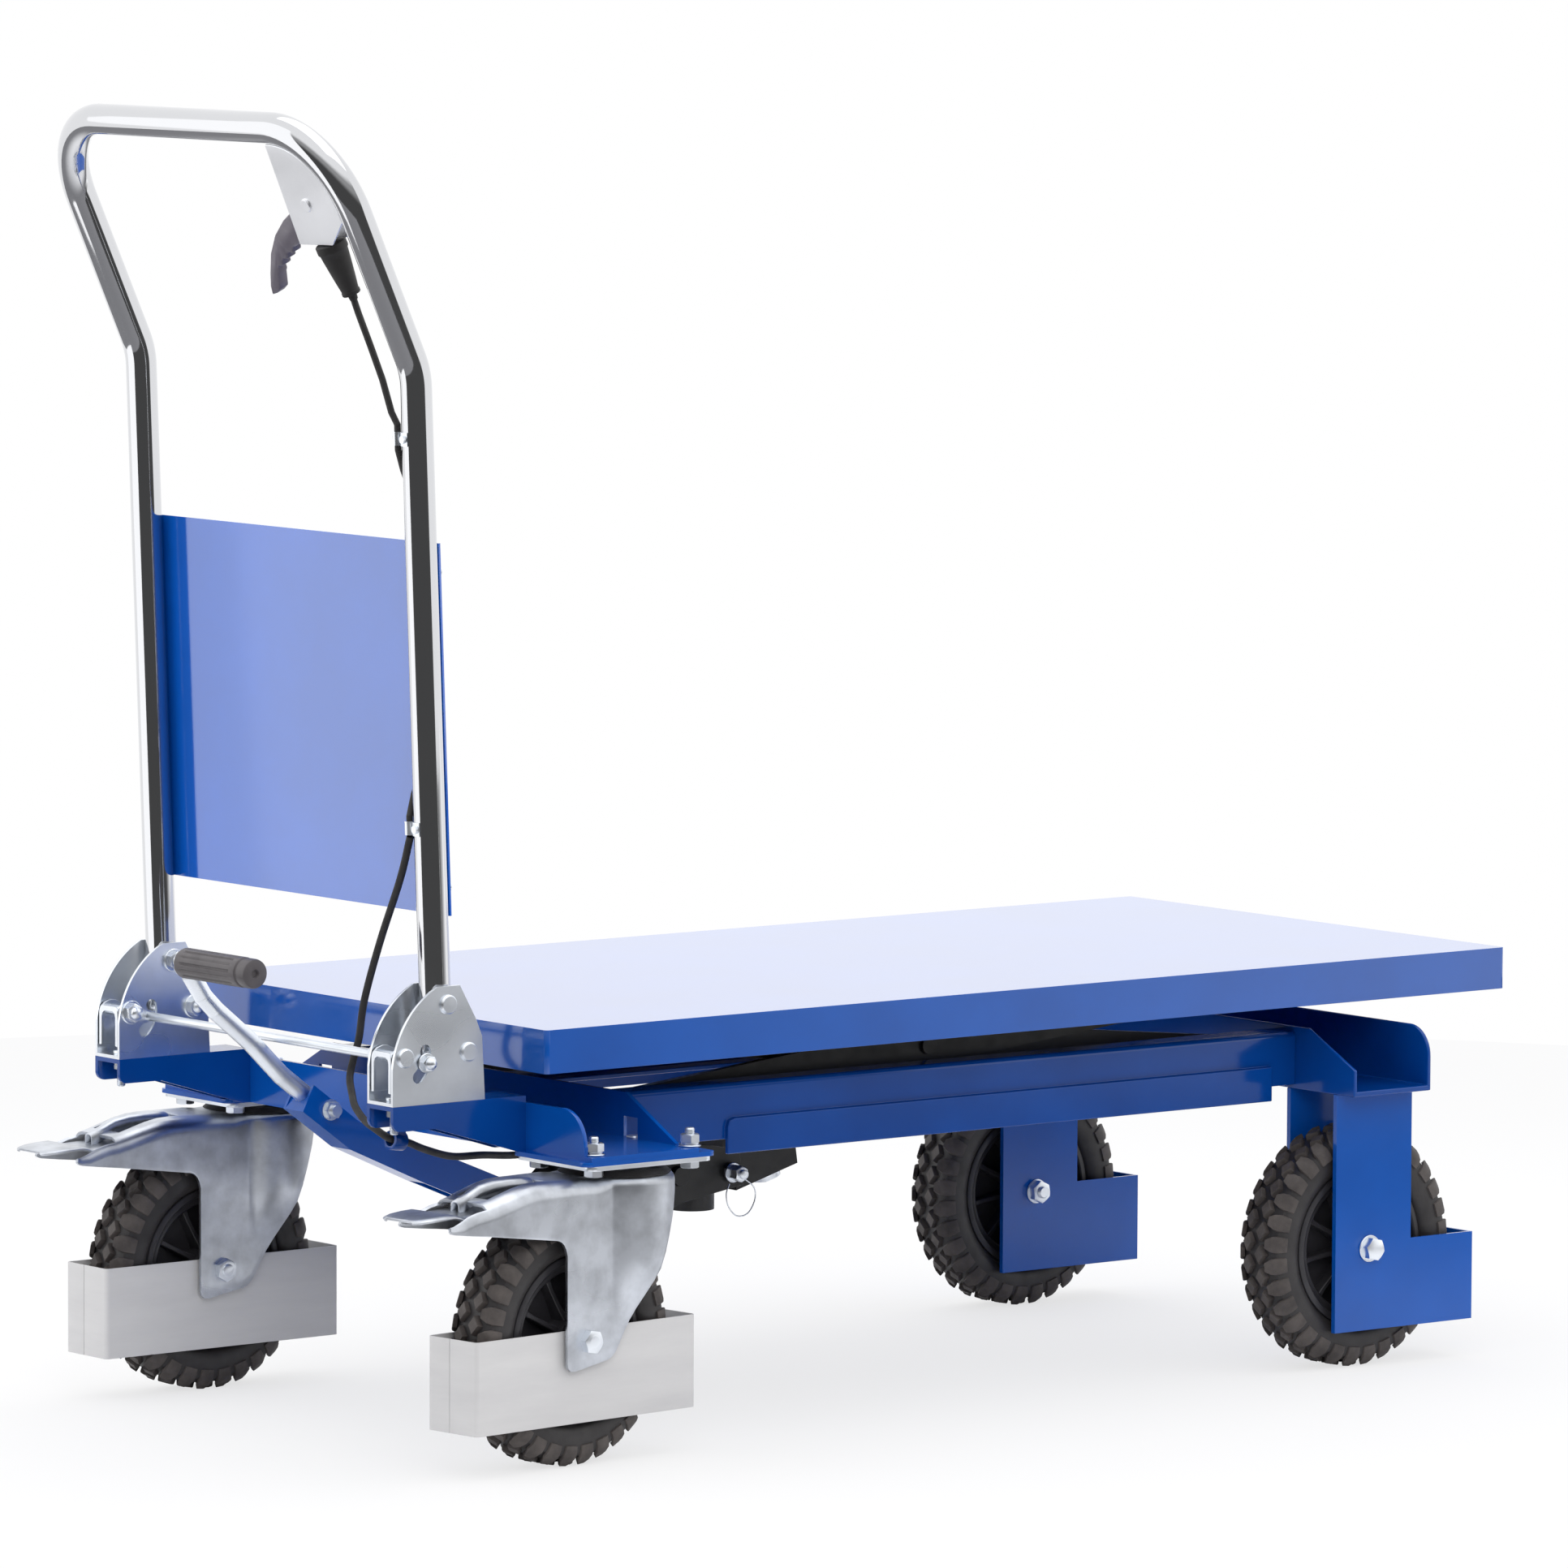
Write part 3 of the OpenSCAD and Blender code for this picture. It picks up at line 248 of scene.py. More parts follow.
def dress_cad():
    """Gives each CAD node the material of its slot in the record, and rounded edges where it is made of sheet."""
    slots = {part["node"]: part["material_slot"] for part in frame["record"]["subparts"]}
    for name, obj in nodes.items():
        obj.data.materials.clear()
        obj.data.materials.append(BY_NODE.get(name, BY_SLOT[slots[name]]))
        if name in ROUND_EDGES:
            weld = obj.modifiers.new("weld", "WELD")
            weld.merge_threshold = 0.00002
            join = obj.modifiers.new("join", "DECIMATE")
            join.decimate_type = "DISSOLVE"
            join.angle_limit = math.radians(0.4)
            edge = bevel(obj, "edge", ROUND_EDGES[name], 32)
            edge.harden_normals = not name.startswith("handle_bracket")  # off on the brackets, as judged


# ---- meshes ----

def put(name, data):
    """A new object in the scene."""
    obj = bpy.data.objects.new(name, data)
    bpy.context.scene.collection.objects.link(obj)
    return obj


def shape(name, build, material, crease):
    """An object of the collected faces: smooth but for edges sharper than crease degrees."""
    mesh = bpy.data.meshes.new(name)
    mesh.from_pydata([tuple(v) for v in build.verts], [], build.faces)
    mesh.polygons.foreach_set("use_smooth", [True] * len(mesh.polygons))
    mesh.validate()
    mesh.update()
    mesh.set_sharp_from_angle(angle=math.radians(crease))
    mesh.materials.append(material)
    return put(name, mesh)


def piece(name, build, material, body, replaced, crease=35):
    """A finished piece on a body, in place of the CAD nodes in replaced."""
    obj = shape(name, build, material, crease)
    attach(obj, body)
    if replaced:
        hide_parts(*replaced)
    return obj


def circle(steps):
    """Angles round a full turn."""
    return [math.tau * k / steps for k in range(steps)]


def spun(radius, y, angle):
    """Point at a radius and angle round Y."""
    return radius * math.cos(angle), y, radius * math.sin(angle)


def both_sides(profile):
    """A (radius, along) profile and its mirror image."""
    return [*profile, *[(r, -y) for r, y in reversed(profile)]]


def smooth(a, b, x):
    """Goes softly from 0 at a to 1 at b."""
    t = min(1, max(0, (x - a) / (b - a)))
    return t * t * (3 - 2 * t)


def between(table, x):
    """Value at x on the line through a table's (x, value) points."""
    for (x0, z0), (x1, z1) in zip(table, table[1:]):
        if x <= x1 + 1e-6:
            return z0 + (z1 - z0) * max(0, x - x0) / (x1 - x0)
    return table[-1][1]


TIP = 0.0012  # a turned shape whose end has a smaller radius than this is closed there


class Build:
    """Collects the vertices and faces of one piece; place is applied to each shape that is added."""

    def __init__(self, place=Matrix.Identity(4)):
        self.verts = []
        self.faces = []
        self.place = place

    def add(self, verts, faces):
        base = len(self.verts)
        self.verts += [self.place @ Vector(v) for v in verts]
        self.faces += [tuple(base + i for i in face) for face in faces]

    def skin(self, rows, ring=False, ends=(), flip=False, gap=None):
        """
        Quads between rows of points; ring joins each row's last point to its first. ends names the rows to close,
        0 for the first and 1 for the last. flip turns the faces over, and gap(row, point) leaves one out.
        """
        n = len(rows[0])
        faces = []
        for r in range(len(rows) - 1):
            for i in range(n if ring else n - 1):
                if gap and gap(r, i):
                    continue
                a, b = r * n + i, r * n + (i + 1) % n
                faces.append((a, a + n, b + n, b) if flip else (a, b, b + n, a + n))
        for end in ends:
            faces.append(tuple((len(rows) - 1) * n + i for i in range(n)) if end else tuple(range(n - 1, -1, -1)))
        self.add([v for row in rows for v in row], faces)

    def lathe(self, profile, steps=96):
        """Turns (radius, along) points round Y; an end that comes near the axis is closed."""
        n = len(profile)
        faces = [(k * n + i, k * n + i + 1, (k + 1) % steps * n + i + 1, (k + 1) % steps * n + i)
                 for k in range(steps) for i in range(n - 1)]
        if profile[0][0] < TIP:
            faces.append(tuple(k * n for k in range(steps)))
        if profile[-1][0] < TIP:
            faces.append(tuple(k * n + n - 1 for k in reversed(range(steps))))
        self.add([spun(r, y, a) for a in circle(steps) for r, y in profile], faces)

    def prism(self, outline, low, high, edge):
        """Outline in X and Z, solid from Y = low to high, its rims chamfered by edge."""
        inner = inset(outline, edge)
        self.skin([[(x, y, z) for x, z in points] for points, y in
                   ((inner, low), (outline, low + edge), (outline, high - edge), (inner, high))], True, (0, 1))


def smooth_path(points, count):
    """Points along a soft curve through the given ones."""
    p = [Vector(q) for q in points]
    p = [2 * p[0] - p[1], *p, 2 * p[-1] - p[-2]]
    made = []
    for i in range(1, len(p) - 2):
        for k in range(count):
            t = k / count
            a, b, c, d = p[i - 1:i + 3]
            made.append(0.5 * (2 * b + (c - a) * t + (2 * a - 5 * b + 4 * c - d) * t ** 2
                               + (3 * b - a - 3 * c + d) * t ** 3))
    return [*made, p[-2]]


def sweep(build, path, radius, sides):
    """Round bar along a path; radius is one number or one for each point. Its ends are closed."""
    n = len(path)
    radii = radius if isinstance(radius, list) else [radius] * n
    tangents = [(path[min(i + 1, n - 1)] - path[max(i - 1, 0)]).normalized() for i in range(n)]
    u = tangents[0].orthogonal().normalized()
    rings = []
    for q, t, r in zip(path, tangents, radii):
        u = (u - t * u.dot(t)).normalized()
        v = t.cross(u)
        rings.append([q + (u * math.cos(a) + v * math.sin(a)) * r for a in circle(sides)])
    build.skin(rings, True, (0, 1))


def inset(outline, by):
    """The outline, in X and Z, moved inward by a distance."""
    n = len(outline)
    turn = sum(x0 * z1 - x1 * z0 for (x0, z0), (x1, z1) in zip(outline, [*outline[1:], outline[0]]))
    sign = 1 if turn > 0 else -1
    made = []
    for i in range(n):
        p, q, r = (Vector(outline[(i + k) % n]) for k in (-1, 0, 1))
        a = (q - p).normalized()
        b = (r - q).normalized()
        na, nb = Vector((-a.y, a.x)) * sign, Vector((-b.y, b.x)) * sign
        out = na + nb
        made.append(tuple(q + out * (by / max(out.dot(na), 0.3))))
    return made


# ---- places taken from the frame ----

JOINT = {j["name"]: Vector(j["pos_m"]) for j in frame["joints"] if "pos_m" in j}
HINGE = JOINT["handle_fold"]
TUBE_R = 0.014
POST_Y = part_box("handle_posts")[1].y - TUBE_R
POST_L = 0.5504  # handle posts: from the fold pivot to the bend, and on to the hand bar
UPPER_L = 0.2315
LEAN = math.radians(2.25)  # of the posts, away from the deck, and what their bend adds
BEND = math.radians(22.4)
WHEEL_R = (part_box("tyre_rear_right")[1].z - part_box("tyre_rear_right")[0].z) / 2
AXLE_Z = WHEEL_R
FRAME_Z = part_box("caster_plates")[1].z
FORK_TOP = FRAME_Z - 0.016
TRAIL = 0.0654  # from the king pin to the front axle
HEADING = {"right": 5.96, "left": 0.64}  # degrees that each caster is turned
CHEEK = 0.036  # half the width over a fork's cheeks
BRAKE_PIN = (-0.089, FORK_TOP - 0.022)  # in the caster's frame, X and Z
PLATE_BOLTS = (0.0525, 0.04)  # from the king pin to the caster plate's bolts, along and across
PLATE_HEX, PLATE_THREAD = 0.0155, 0.0044  # these bolts' hexagon across flats, and their radius
FOOT_HEX, FOOT_THREAD = 0.013, 0.0039  # the same for the handle brackets' feet
AXLE_HEX, AXLE_THREAD = 0.019, 0.0058


def turned(degrees, axis):
    """Rotation round one axis."""
    return Matrix.Rotation(math.radians(degrees), 4, axis)


def caster_place(hand):
    """Caster frame: king pin on Z, the wheel toward -X."""
    at = JOINT["swivel_" + hand]
    return Matrix.Translation((at.x, at.y, 0)) @ turned(HEADING[hand], "Z")


def wheel_place(end, hand):
    """Middle of a wheel, turned to its caster's heading."""
    low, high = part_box("tyre_" + end + "_" + hand)
    return Matrix.Translation((low + high) / 2) @ turned(HEADING[hand] if end == "front" else 0, "Z")


def post_frame():
    """Handle frame: origin at the fold pivot, Z up the leaning posts."""
    return Matrix.Translation(HINGE) @ Matrix.Rotation(-LEAN, 4, "Y")


def upper_frame():
    """The same above the bend, its origin there."""
    return post_frame() @ Matrix.Translation((0, 0, POST_L)) @ Matrix.Rotation(-BEND, 4, "Y")


def along(at, direction, spin=0.0):
    """Place whose Y runs along a direction from a point, turned round it by spin radians."""
    place = Matrix.Translation(at) @ Vector(direction).to_track_quat("Y", "Z").to_matrix().to_4x4()
    return place @ Matrix.Rotation(spin, 4, "Y")


# ---- wheels ----

PITCHES = 32  # tread blocks round a tyre
PITCH = math.tau / PITCHES
CROWN = [(0, 0), (0.01, 0), (0.0175, -0.0012), (0.0225, -0.0045), (0.0265, -0.0095), (0.028, -0.0155),
         (0.0275, -0.021), (0.025, -0.026)]  # (from the middle, below the top of the tread)
SHOULDER = [(0.0165, 0.0, 0.2), (0.0205, -0.003, 0.33), (0.0246, -0.007, 0.36), (0.0272, -0.0128, 0.355),
            (0.0277, -0.0185, 0.345)]  # (from the middle, below the top, half width in pitches)
LUG_RIM = [(-1.12, 0.0042), (-1.0, 0.0008), (-0.86, 0.0), (0.86, 0.0), (1.0, 0.0008),
           (1.12, 0.0042)]  # (share of the half width, below the lug's top)
GROOVE = 0.0052


def tread_block(build, corners):
    """One block from its (round, across) corners in pitches and metres, with sloping walls and a small chamfer."""
    n = len(corners)
    middle = Vector((sum(c[0] for c in corners) / n, sum(c[1] for c in corners) / n))
    rings = []
    for shrink, sink in ((1.1, GROOVE), (1.0, 0.0009), (0.9, 0.0)):
        ring = []
        for u, y in corners:
            u = middle.x + (u - middle.x) * shrink
            y = middle.y + (y - middle.y) * shrink
            ring.append(spun(WHEEL_R + between(CROWN, abs(y)) - sink, y, u * PITCH))
        rings.append(ring)
    build.skin(rings, True, (1,))


def shoulder_lug(build, at, side):
    """Lug from the diamonds over the shoulder and down the sidewall, with chamfered rims."""
    rings = []
    for y, h, half in SHOULDER:
        ring = []
        for share, sink in LUG_RIM:
            lean = min(1, max(0, (y - 0.0205) / 0.0065))  # 0 on the tread, 1 on the sidewall
            ring.append(spun(WHEEL_R + h - sink * (1 - lean), side * (y - sink * lean * 0.55),
                             (at + share * half) * PITCH))
        rings.append(ring)
    root = WHEEL_R + SHOULDER[0][1] - 0.0045
    first = [(root / math.hypot(x, z) * x, y - side * 0.0008, root / math.hypot(x, z) * z) for x, y, z in rings[0]]
    last = [(x * 0.992, y - side * 0.0026, z * 0.992) for x, y, z in rings[-1]]
    build.skin([first, *rings, last])


def tyre(which, place):
    """Solid tyre: smooth carcass, and on it two rows of diamond blocks and shoulder lugs."""
    carcass = Build(place)
    carcass.lathe(both_sides([(WHEEL_R - depth, y) for depth, y in (
        (0.0378, 0.0192), (0.0362, 0.0222), (0.033, 0.0248), (0.0275, 0.0264), (0.021, 0.0262), (0.016, 0.0258),
        (0.0125, 0.0253), (0.0095, 0.0235), (0.0068, 0.019), (0.0055, 0.0125), (0.0052, 0.005))]), 128)
    blocks = Build(place)
    for k in range(PITCHES):
        for side in (-1, 1):
            at = k + (0.5 if side > 0 else 0)
            tread_block(blocks, [(at - 0.4, side * 0.0085), (at, side * 0.0022), (at + 0.4, side * 0.0085),
                                 (at, side * 0.0148)])
            shoulder_lug(blocks, at + 0.5, side)
    piece("tread_" + which, carcass, TYRE, "wheel_" + which, ("tyre_" + which,), 28)
    piece("tread_" + which + "_blocks", blocks, TREAD, "wheel_" + which, (), 28)


def hub(which, place):
    """Moulded hub: stepped rim, web with deep pockets between tapering ribs, boss with a steel bearing."""
    b = Build(place)
    rim = 0.0742
    b.lathe(both_sides([(rim - depth, y) for depth, y in (
        (0, 0.0196), (0.0008, 0.0214), (0.003, 0.0222), (0.0058, 0.0222), (0.0072, 0.0208), (0.0072, 0.0186),
        (0.009, 0.0176), (0.0128, 0.0176), (0.0146, 0.016), (0.0154, 0.006))]), 128)
    web = [(0.059, 0.004), (0.021, 0.004), (0.0208, 0.02), (0.0198, 0.0225), (0.0162, 0.0235), (0.014, 0.0225),
           (0.014, 0.0205)]
    race = [(0.0138, 0.0205), (0.0128, 0.0212), (0.0116, 0.0208), (0.0114, 0.0196), (0.0086, 0.0196),
            (0.0083, 0.0212), (0.0068, 0.0212), (0.0063, 0.02)]
    ribs = 10
    sections = ((0.0195, 0.0196, 0.003), (0.034, 0.0165, 0.0022), (0.05, 0.015, 0.002),
                (0.0592, 0.0158, 0.0026))  # (radius, height, half width) along a rib
    for side in (-1, 1):
        b.lathe([(r, side * y) for r, y in web], 96)
        for k in range(ribs):
            a = math.tau * (k + 0.25) / ribs
            u = Vector((math.cos(a), 0, math.sin(a)))
            v = Vector((-math.sin(a), 0, math.cos(a)))
            b.skin([[u * r + v * (half * share) + Vector((0, side * y, 0)) for share, y in (
                (-1.25, 0.003), (-1.0, top - 0.0007), (-0.7, top), (0.7, top), (1.0, top - 0.0007), (1.25, 0.003))]
                    for r, top, half in sections])
    piece("wheel_centre_" + which, b, PLASTIC, "wheel_" + which, ("hub_" + which,))
    steel = Build(place)
    for side in (-1, 1):
        steel.lathe([(r, side * y) for r, y in race], 64)
    piece("wheel_centre_" + which + "_bearings", steel, STEEL, "wheel_" + which, ())


def wheels():
    """The two front and the two rear wheels."""
    for end in ("front", "rear"):
        for hand in SIDES:
            place = wheel_place(end, hand)
            tyre(end + "_" + hand, place)
            hub(end + "_" + hand, place)


# ---- fasteners, drawn along Y ----

def hexagon(build, across, low, high, bore=0.001):
    """Bolt head or nut with its corners chamfered at the far end, which is flat inside the bore's radius."""
    flat = across / 2
    top = flat * 0.96
    rings = [[], [], [], []]
    for a in circle(36):
        far = flat / math.cos((a + math.pi / 6) % (math.pi / 3) - math.pi / 6)
        drop = (far - top) * 0.55
        for ring, (r, y) in zip(rings, ((far, low), (far, high - drop), (top, high), (bore, high))):
            ring.append(spun(r, y, a))
    build.skin(rings, True, (1, 0))


def washer(build, radius, low, high):
    """Disc with a small chamfer on its rims."""
    e = min(0.0005, (high - low) / 3)
    build.lathe([(0.001, low), (radius - e, low), (radius, low + e), (radius, high - e), (radius - e, high),
                 (0.001, high)], 48)


def stud(build, radius, low, high, pitch=0.0015):
    """Threaded end with a chamfered tip."""
    profile = []
    turns = max(1, int((high - low) / pitch))
    for k in range(turns):
        y = low + k * pitch
        profile += [(radius, y + 0.0002), (radius - 0.0006, y + pitch * 0.5), (radius, y + pitch - 0.0002)]
    profile += [(radius - 0.001, high), (0.0008, high)]
    build.lathe(profile, 32)


def dome(build, radius, low, height):
    """Low dome over a flat disc."""
    profile = [(radius, low)]
    for k in range(7):
        a = math.pi / 2 * k / 6
        profile.append((max(0.0006, radius * math.cos(a)), low + height * math.sin(a)))
    build.lathe(profile, 40)


def caster_bolts():
    """Bolts of the caster plates with nuts on top, and of the rear axles."""
    b = Build()
    z = FRAME_Z
    for hand, side in SIDES.items():
        at = JOINT["swivel_" + hand]
        for i in (-1, 1):
            for j in (-1, 1):
                foot = (at.x + i * PLATE_BOLTS[0], at.y + j * PLATE_BOLTS[1], 0)
                turn = 0.4 * i + 0.9 * j
                b.place = along(foot, (0, 0, -1), turn)
                hexagon(b, PLATE_HEX, -z + 0.0046, -z + 0.0108)
                washer(b, 0.0095, -z + 0.0041, -z + 0.0052)
                b.place = along(foot, (0, 0, 1), turn)
                if i > 0 and j * side < 0:  # the inner rear one ends in a low cone
                    b.lathe([(PLATE_THREAD, z + 0.002), (0.0074, z + 0.0081), (0.0068, z + 0.0094),
                             (0.0006, z + 0.0098)], 32)
                    continue
                washer(b, 0.0098, z + 0.0081, z + 0.0096)
                washer(b, 0.0078, z + 0.0096, z + 0.0118)
                hexagon(b, PLATE_HEX, z + 0.0118, z + 0.0192, 0.004)
                stud(b, PLATE_THREAD, z + 0.019, z + 0.0246)
        low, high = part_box("rear_leg_" + hand)
        outer = max(abs(low.y), abs(high.y))
        inner = min(abs(low.y), abs(high.y))
        axle = JOINT["wheel_rear_" + hand + "_spin"]
        b.place = along((axle.x, 0, axle.z), (0, side, 0), 0.3)
        washer(b, 0.0125, outer, outer + 0.002)
        hexagon(b, AXLE_HEX, outer + 0.002, outer + 0.0105)
        b.lathe([(0.006, inner - 0.001), (0.006, outer)], 32)
        b.place = along((axle.x, 0, axle.z), (0, -side, 0), 0.1)
        washer(b, 0.0118, -inner, -inner + 0.0016)
        hexagon(b, AXLE_HEX, -inner + 0.0016, -inner + 0.0095, 0.0056)
        stud(b, AXLE_THREAD, -inner + 0.009, -inner + 0.0128)
    piece("caster_and_axle_bolts", b, ZINC, "frame", ("frame_bolts",))


def bracket_pins():
    """Headed pins through the handle brackets, with washers and domed nuts inside, and the bracket's own bolts."""
    b = Build()
    sleeve = (0.022, -0.043)
    for side in SIDES.values():
        for x, z in ((0, 0), (-0.046, -0.044), sleeve):
            at = (HINGE.x + x, side * POST_Y, HINGE.z + z)
            b.place = along(at, (0, side, 0))
            b.lathe([(0.005, -0.02), (0.005, 0.019), (0.0086, 0.019), (0.0086, 0.0206), (0.0072, 0.0222),
                     (0.0004, 0.0224)], 48)
            b.place = along(at, (0, -side, 0))
            washer(b, 0.0105, 0.019, 0.0206)
            hexagon(b, 0.015, 0.0206, 0.0262)
            dome(b, 0.0056, 0.0262, 0.0046)
        b.place = along((HINGE.x + sleeve[0], side * POST_Y, HINGE.z + sleeve[1]), (0, side, 0))
        b.lathe([(0.0052, -0.0158), (0.007, -0.0158), (0.007, 0.0158), (0.0052, 0.0158)], 48)
        for x in (-0.044, 0.026):
            foot = (HINGE.x + x, side * POST_Y, HINGE.z - 0.086)
            b.place = along(foot, (0, 0, 1))
            washer(b, 0.0075, 0.003, 0.0062)
            b.place = along(foot, (0, 0, -1), 0.5)
            washer(b, 0.0078, 0.004, 0.0053)
            hexagon(b, FOOT_HEX, 0.0053, 0.0112, 0.0036)
            stud(b, FOOT_THREAD, 0.011, 0.0268)
    piece("bracket_pins", b, ZINC, "frame", ("bracket_bolts",))


def axle_bolts(hand):
    """Front axle: its nut on the inner side, its head outside, and spacers beside the hub."""
    b = Build()
    place = caster_place(hand)
    at = place @ Vector((-TRAIL, 0, AXLE_Z))
    across = place.to_3x3() @ Vector((0, -SIDES[hand], 0))
    b.place = along(at, across)
    washer(b, 0.012, CHEEK, 0.0376)
    hexagon(b, AXLE_HEX, 0.0376, 0.0452, 0.0056)
    stud(b, AXLE_THREAD, 0.045, 0.0468)
    b.lathe([(0.006, -CHEEK), (0.006, CHEEK)], 32)
    b.lathe([(0.011, 0.0317), (0.011, 0.0329)], 32)
    b.lathe([(0.011, -0.0329), (0.011, -0.0317)], 32)
    b.place = along(at, -across, 0.35)
    washer(b, 0.0125, CHEEK, 0.0376)
    hexagon(b, AXLE_HEX, 0.0376, 0.0463)
    dome(b, 0.0062, 0.0463, 0.0004)
    piece("axle_bolt_head_" + hand, b, ZINC, "caster_" + hand, ("axle_bolt_" + hand,))


# ---- casters ----

FORK_LOW = [(-0.2235, -0.0285), (-0.2222, -0.03), (-0.218, -0.0312), (-0.2, -0.0336), (-0.179, -0.036),
            (-0.168, -0.0374), (-0.14, -0.0412), (-0.115, -0.0446), (-0.102, -0.0464), (-0.098, -0.0482),
            (-0.095, -0.051), (-0.0928, -0.055), (-0.0912, -0.061)]  # lower edge before the cheek, from the top
CHEEK_LOW = [(-0.091, AXLE_Z - 0.018), (-0.09, AXLE_Z - 0.0215), (-0.087, AXLE_Z - 0.0245),
             (-0.082, AXLE_Z - 0.025), (-0.044, AXLE_Z - 0.0185), (-0.039, AXLE_Z - 0.0165),
             (-0.034, AXLE_Z - 0.012), (-0.029, AXLE_Z - 0.004), (0.008, FORK_TOP - 0.079),
             (0.029, FORK_TOP - 0.03), (0.034, FORK_TOP - 0.017), (0.038, FORK_TOP - 0.012),
             (0.05, FORK_TOP - 0.01)]  # lower edge of the cheek and the head, as heights
FORK_X = [-0.2235, -0.2222, -0.218, -0.209, -0.2, -0.19, -0.179, -0.168, -0.154, -0.14, -0.127, -0.115, -0.102,
          -0.098, -0.095, -0.0928, -0.0912, -0.091, -0.09, -0.087, -0.082, -0.074, -0.066, -0.058, -0.053, -0.05,
          -0.047, -0.044, -0.039, -0.034, -0.029, -0.024, -0.018, -0.012, -0.004, 0.002, 0.008, 0.014, 0.02, 0.025,
          0.029, 0.034, 0.038, 0.042, 0.0455, 0.048, 0.0495, 0.0502]  # sections from the front end to the head


def fork_low(x):
    """Lower edge of the pressed fork at x, as a height."""
    return FORK_TOP + between(FORK_LOW, x) if x < -0.0911 else between(CHEEK_LOW, x)


def fork_half(x):
    """Half width of the fork: parallel cheeks that swell into the round head."""
    front = CHEEK - 0.005 * smooth(-0.13, -0.22, x)
    head = 0.0498 * math.sqrt(max(0.004, 1 - (x / 0.0505) ** 2))
    if x > -0.02:
        return head
    blend = smooth(-0.047, -0.026, x)
    return front * (1 - blend) + max(head, front) * blend


def fork_top(x):
    """Height of the fork's top: a small step up before the head, then down to the front end."""
    return (FORK_TOP + 0.0015 * smooth(-0.05, -0.066, x) - 0.0145 * smooth(-0.118, -0.195, x)
            - 0.012 * smooth(-0.19, -0.2235, x))


def fork(hand):
    """Pressed fork: one U shaped sheet with round shoulders, a round head and a window for the brake."""
    place = caster_place(hand)
    rows, arc, top = 14, 6, 10  # points up a wall, round a shoulder and across the top
    rings = []
    for x in FORK_X:
        half, high, low = fork_half(x), fork_top(x), fork_low(x)
        shoulder = min(0.0115 - 0.006 * smooth(-0.06, -0.03, x), half * 0.9, (high - low) * 0.8)
        flat = half - shoulder
        walls = []
        for k in range(rows + 1):
            z = low + (high - shoulder - low) * k / rows
            inner = min(half, CHEEK) if x < 0.03 else half
            walls.append((inner + (half - inner) * smooth(0.118, 0.18, z), z))
        for k in range(1, arc + 1):
            a = math.pi / 2 * k / arc
            walls.append((flat + shoulder * math.cos(a), high - shoulder + shoulder * math.sin(a)))
        strip = [flat * (1 - 2 * k / top) for k in range(1, top)]
        if -0.1685 < x < -0.1015:  # beside the window
            strip = [0.022, 0.0205, 0.0204, 0.01, 0, -0.01, -0.0204, -0.0205, -0.022]
        rings.append([(x, -y, z) for y, z in walls] + [(x, -y, high) for y in strip]
                     + [(x, y, z) for y, z in reversed(walls)])
    n = len(rings[0])

    def gap(i, j):
        """The brake's window, and the open front end."""
        middle = (FORK_X[i] + FORK_X[i + 1]) / 2
        return (-0.168 < middle < -0.102 and rows + arc + 3 <= j < rows + arc + 7
                or middle < -0.184 and rows + 2 < j < n - rows - 4)

    b = Build(place)
    b.skin(rings, gap=gap)
    sheet(piece("pressed_fork_" + hand, b, GALVANISED, "caster_" + hand, ("fork_" + hand,), 50),
          0.003, rim=0.0007, angle=55)
    rivets = Build()
    for side in (-1, 1):
        rivets.place = along(place @ Vector((BRAKE_PIN[0], side * CHEEK, BRAKE_PIN[1])),
                             place.to_3x3() @ Vector((0, side, 0)))
        rivets.lathe([(0.007, 0), (0.007, 0.001), (0.0062, 0.0019), (0.0048, 0.002), (0.004, 0.0012),
                      (0.0006, 0.0014)], 40)
    piece("brake_rivets_" + hand, rivets, ZINC, "caster_" + hand, ())


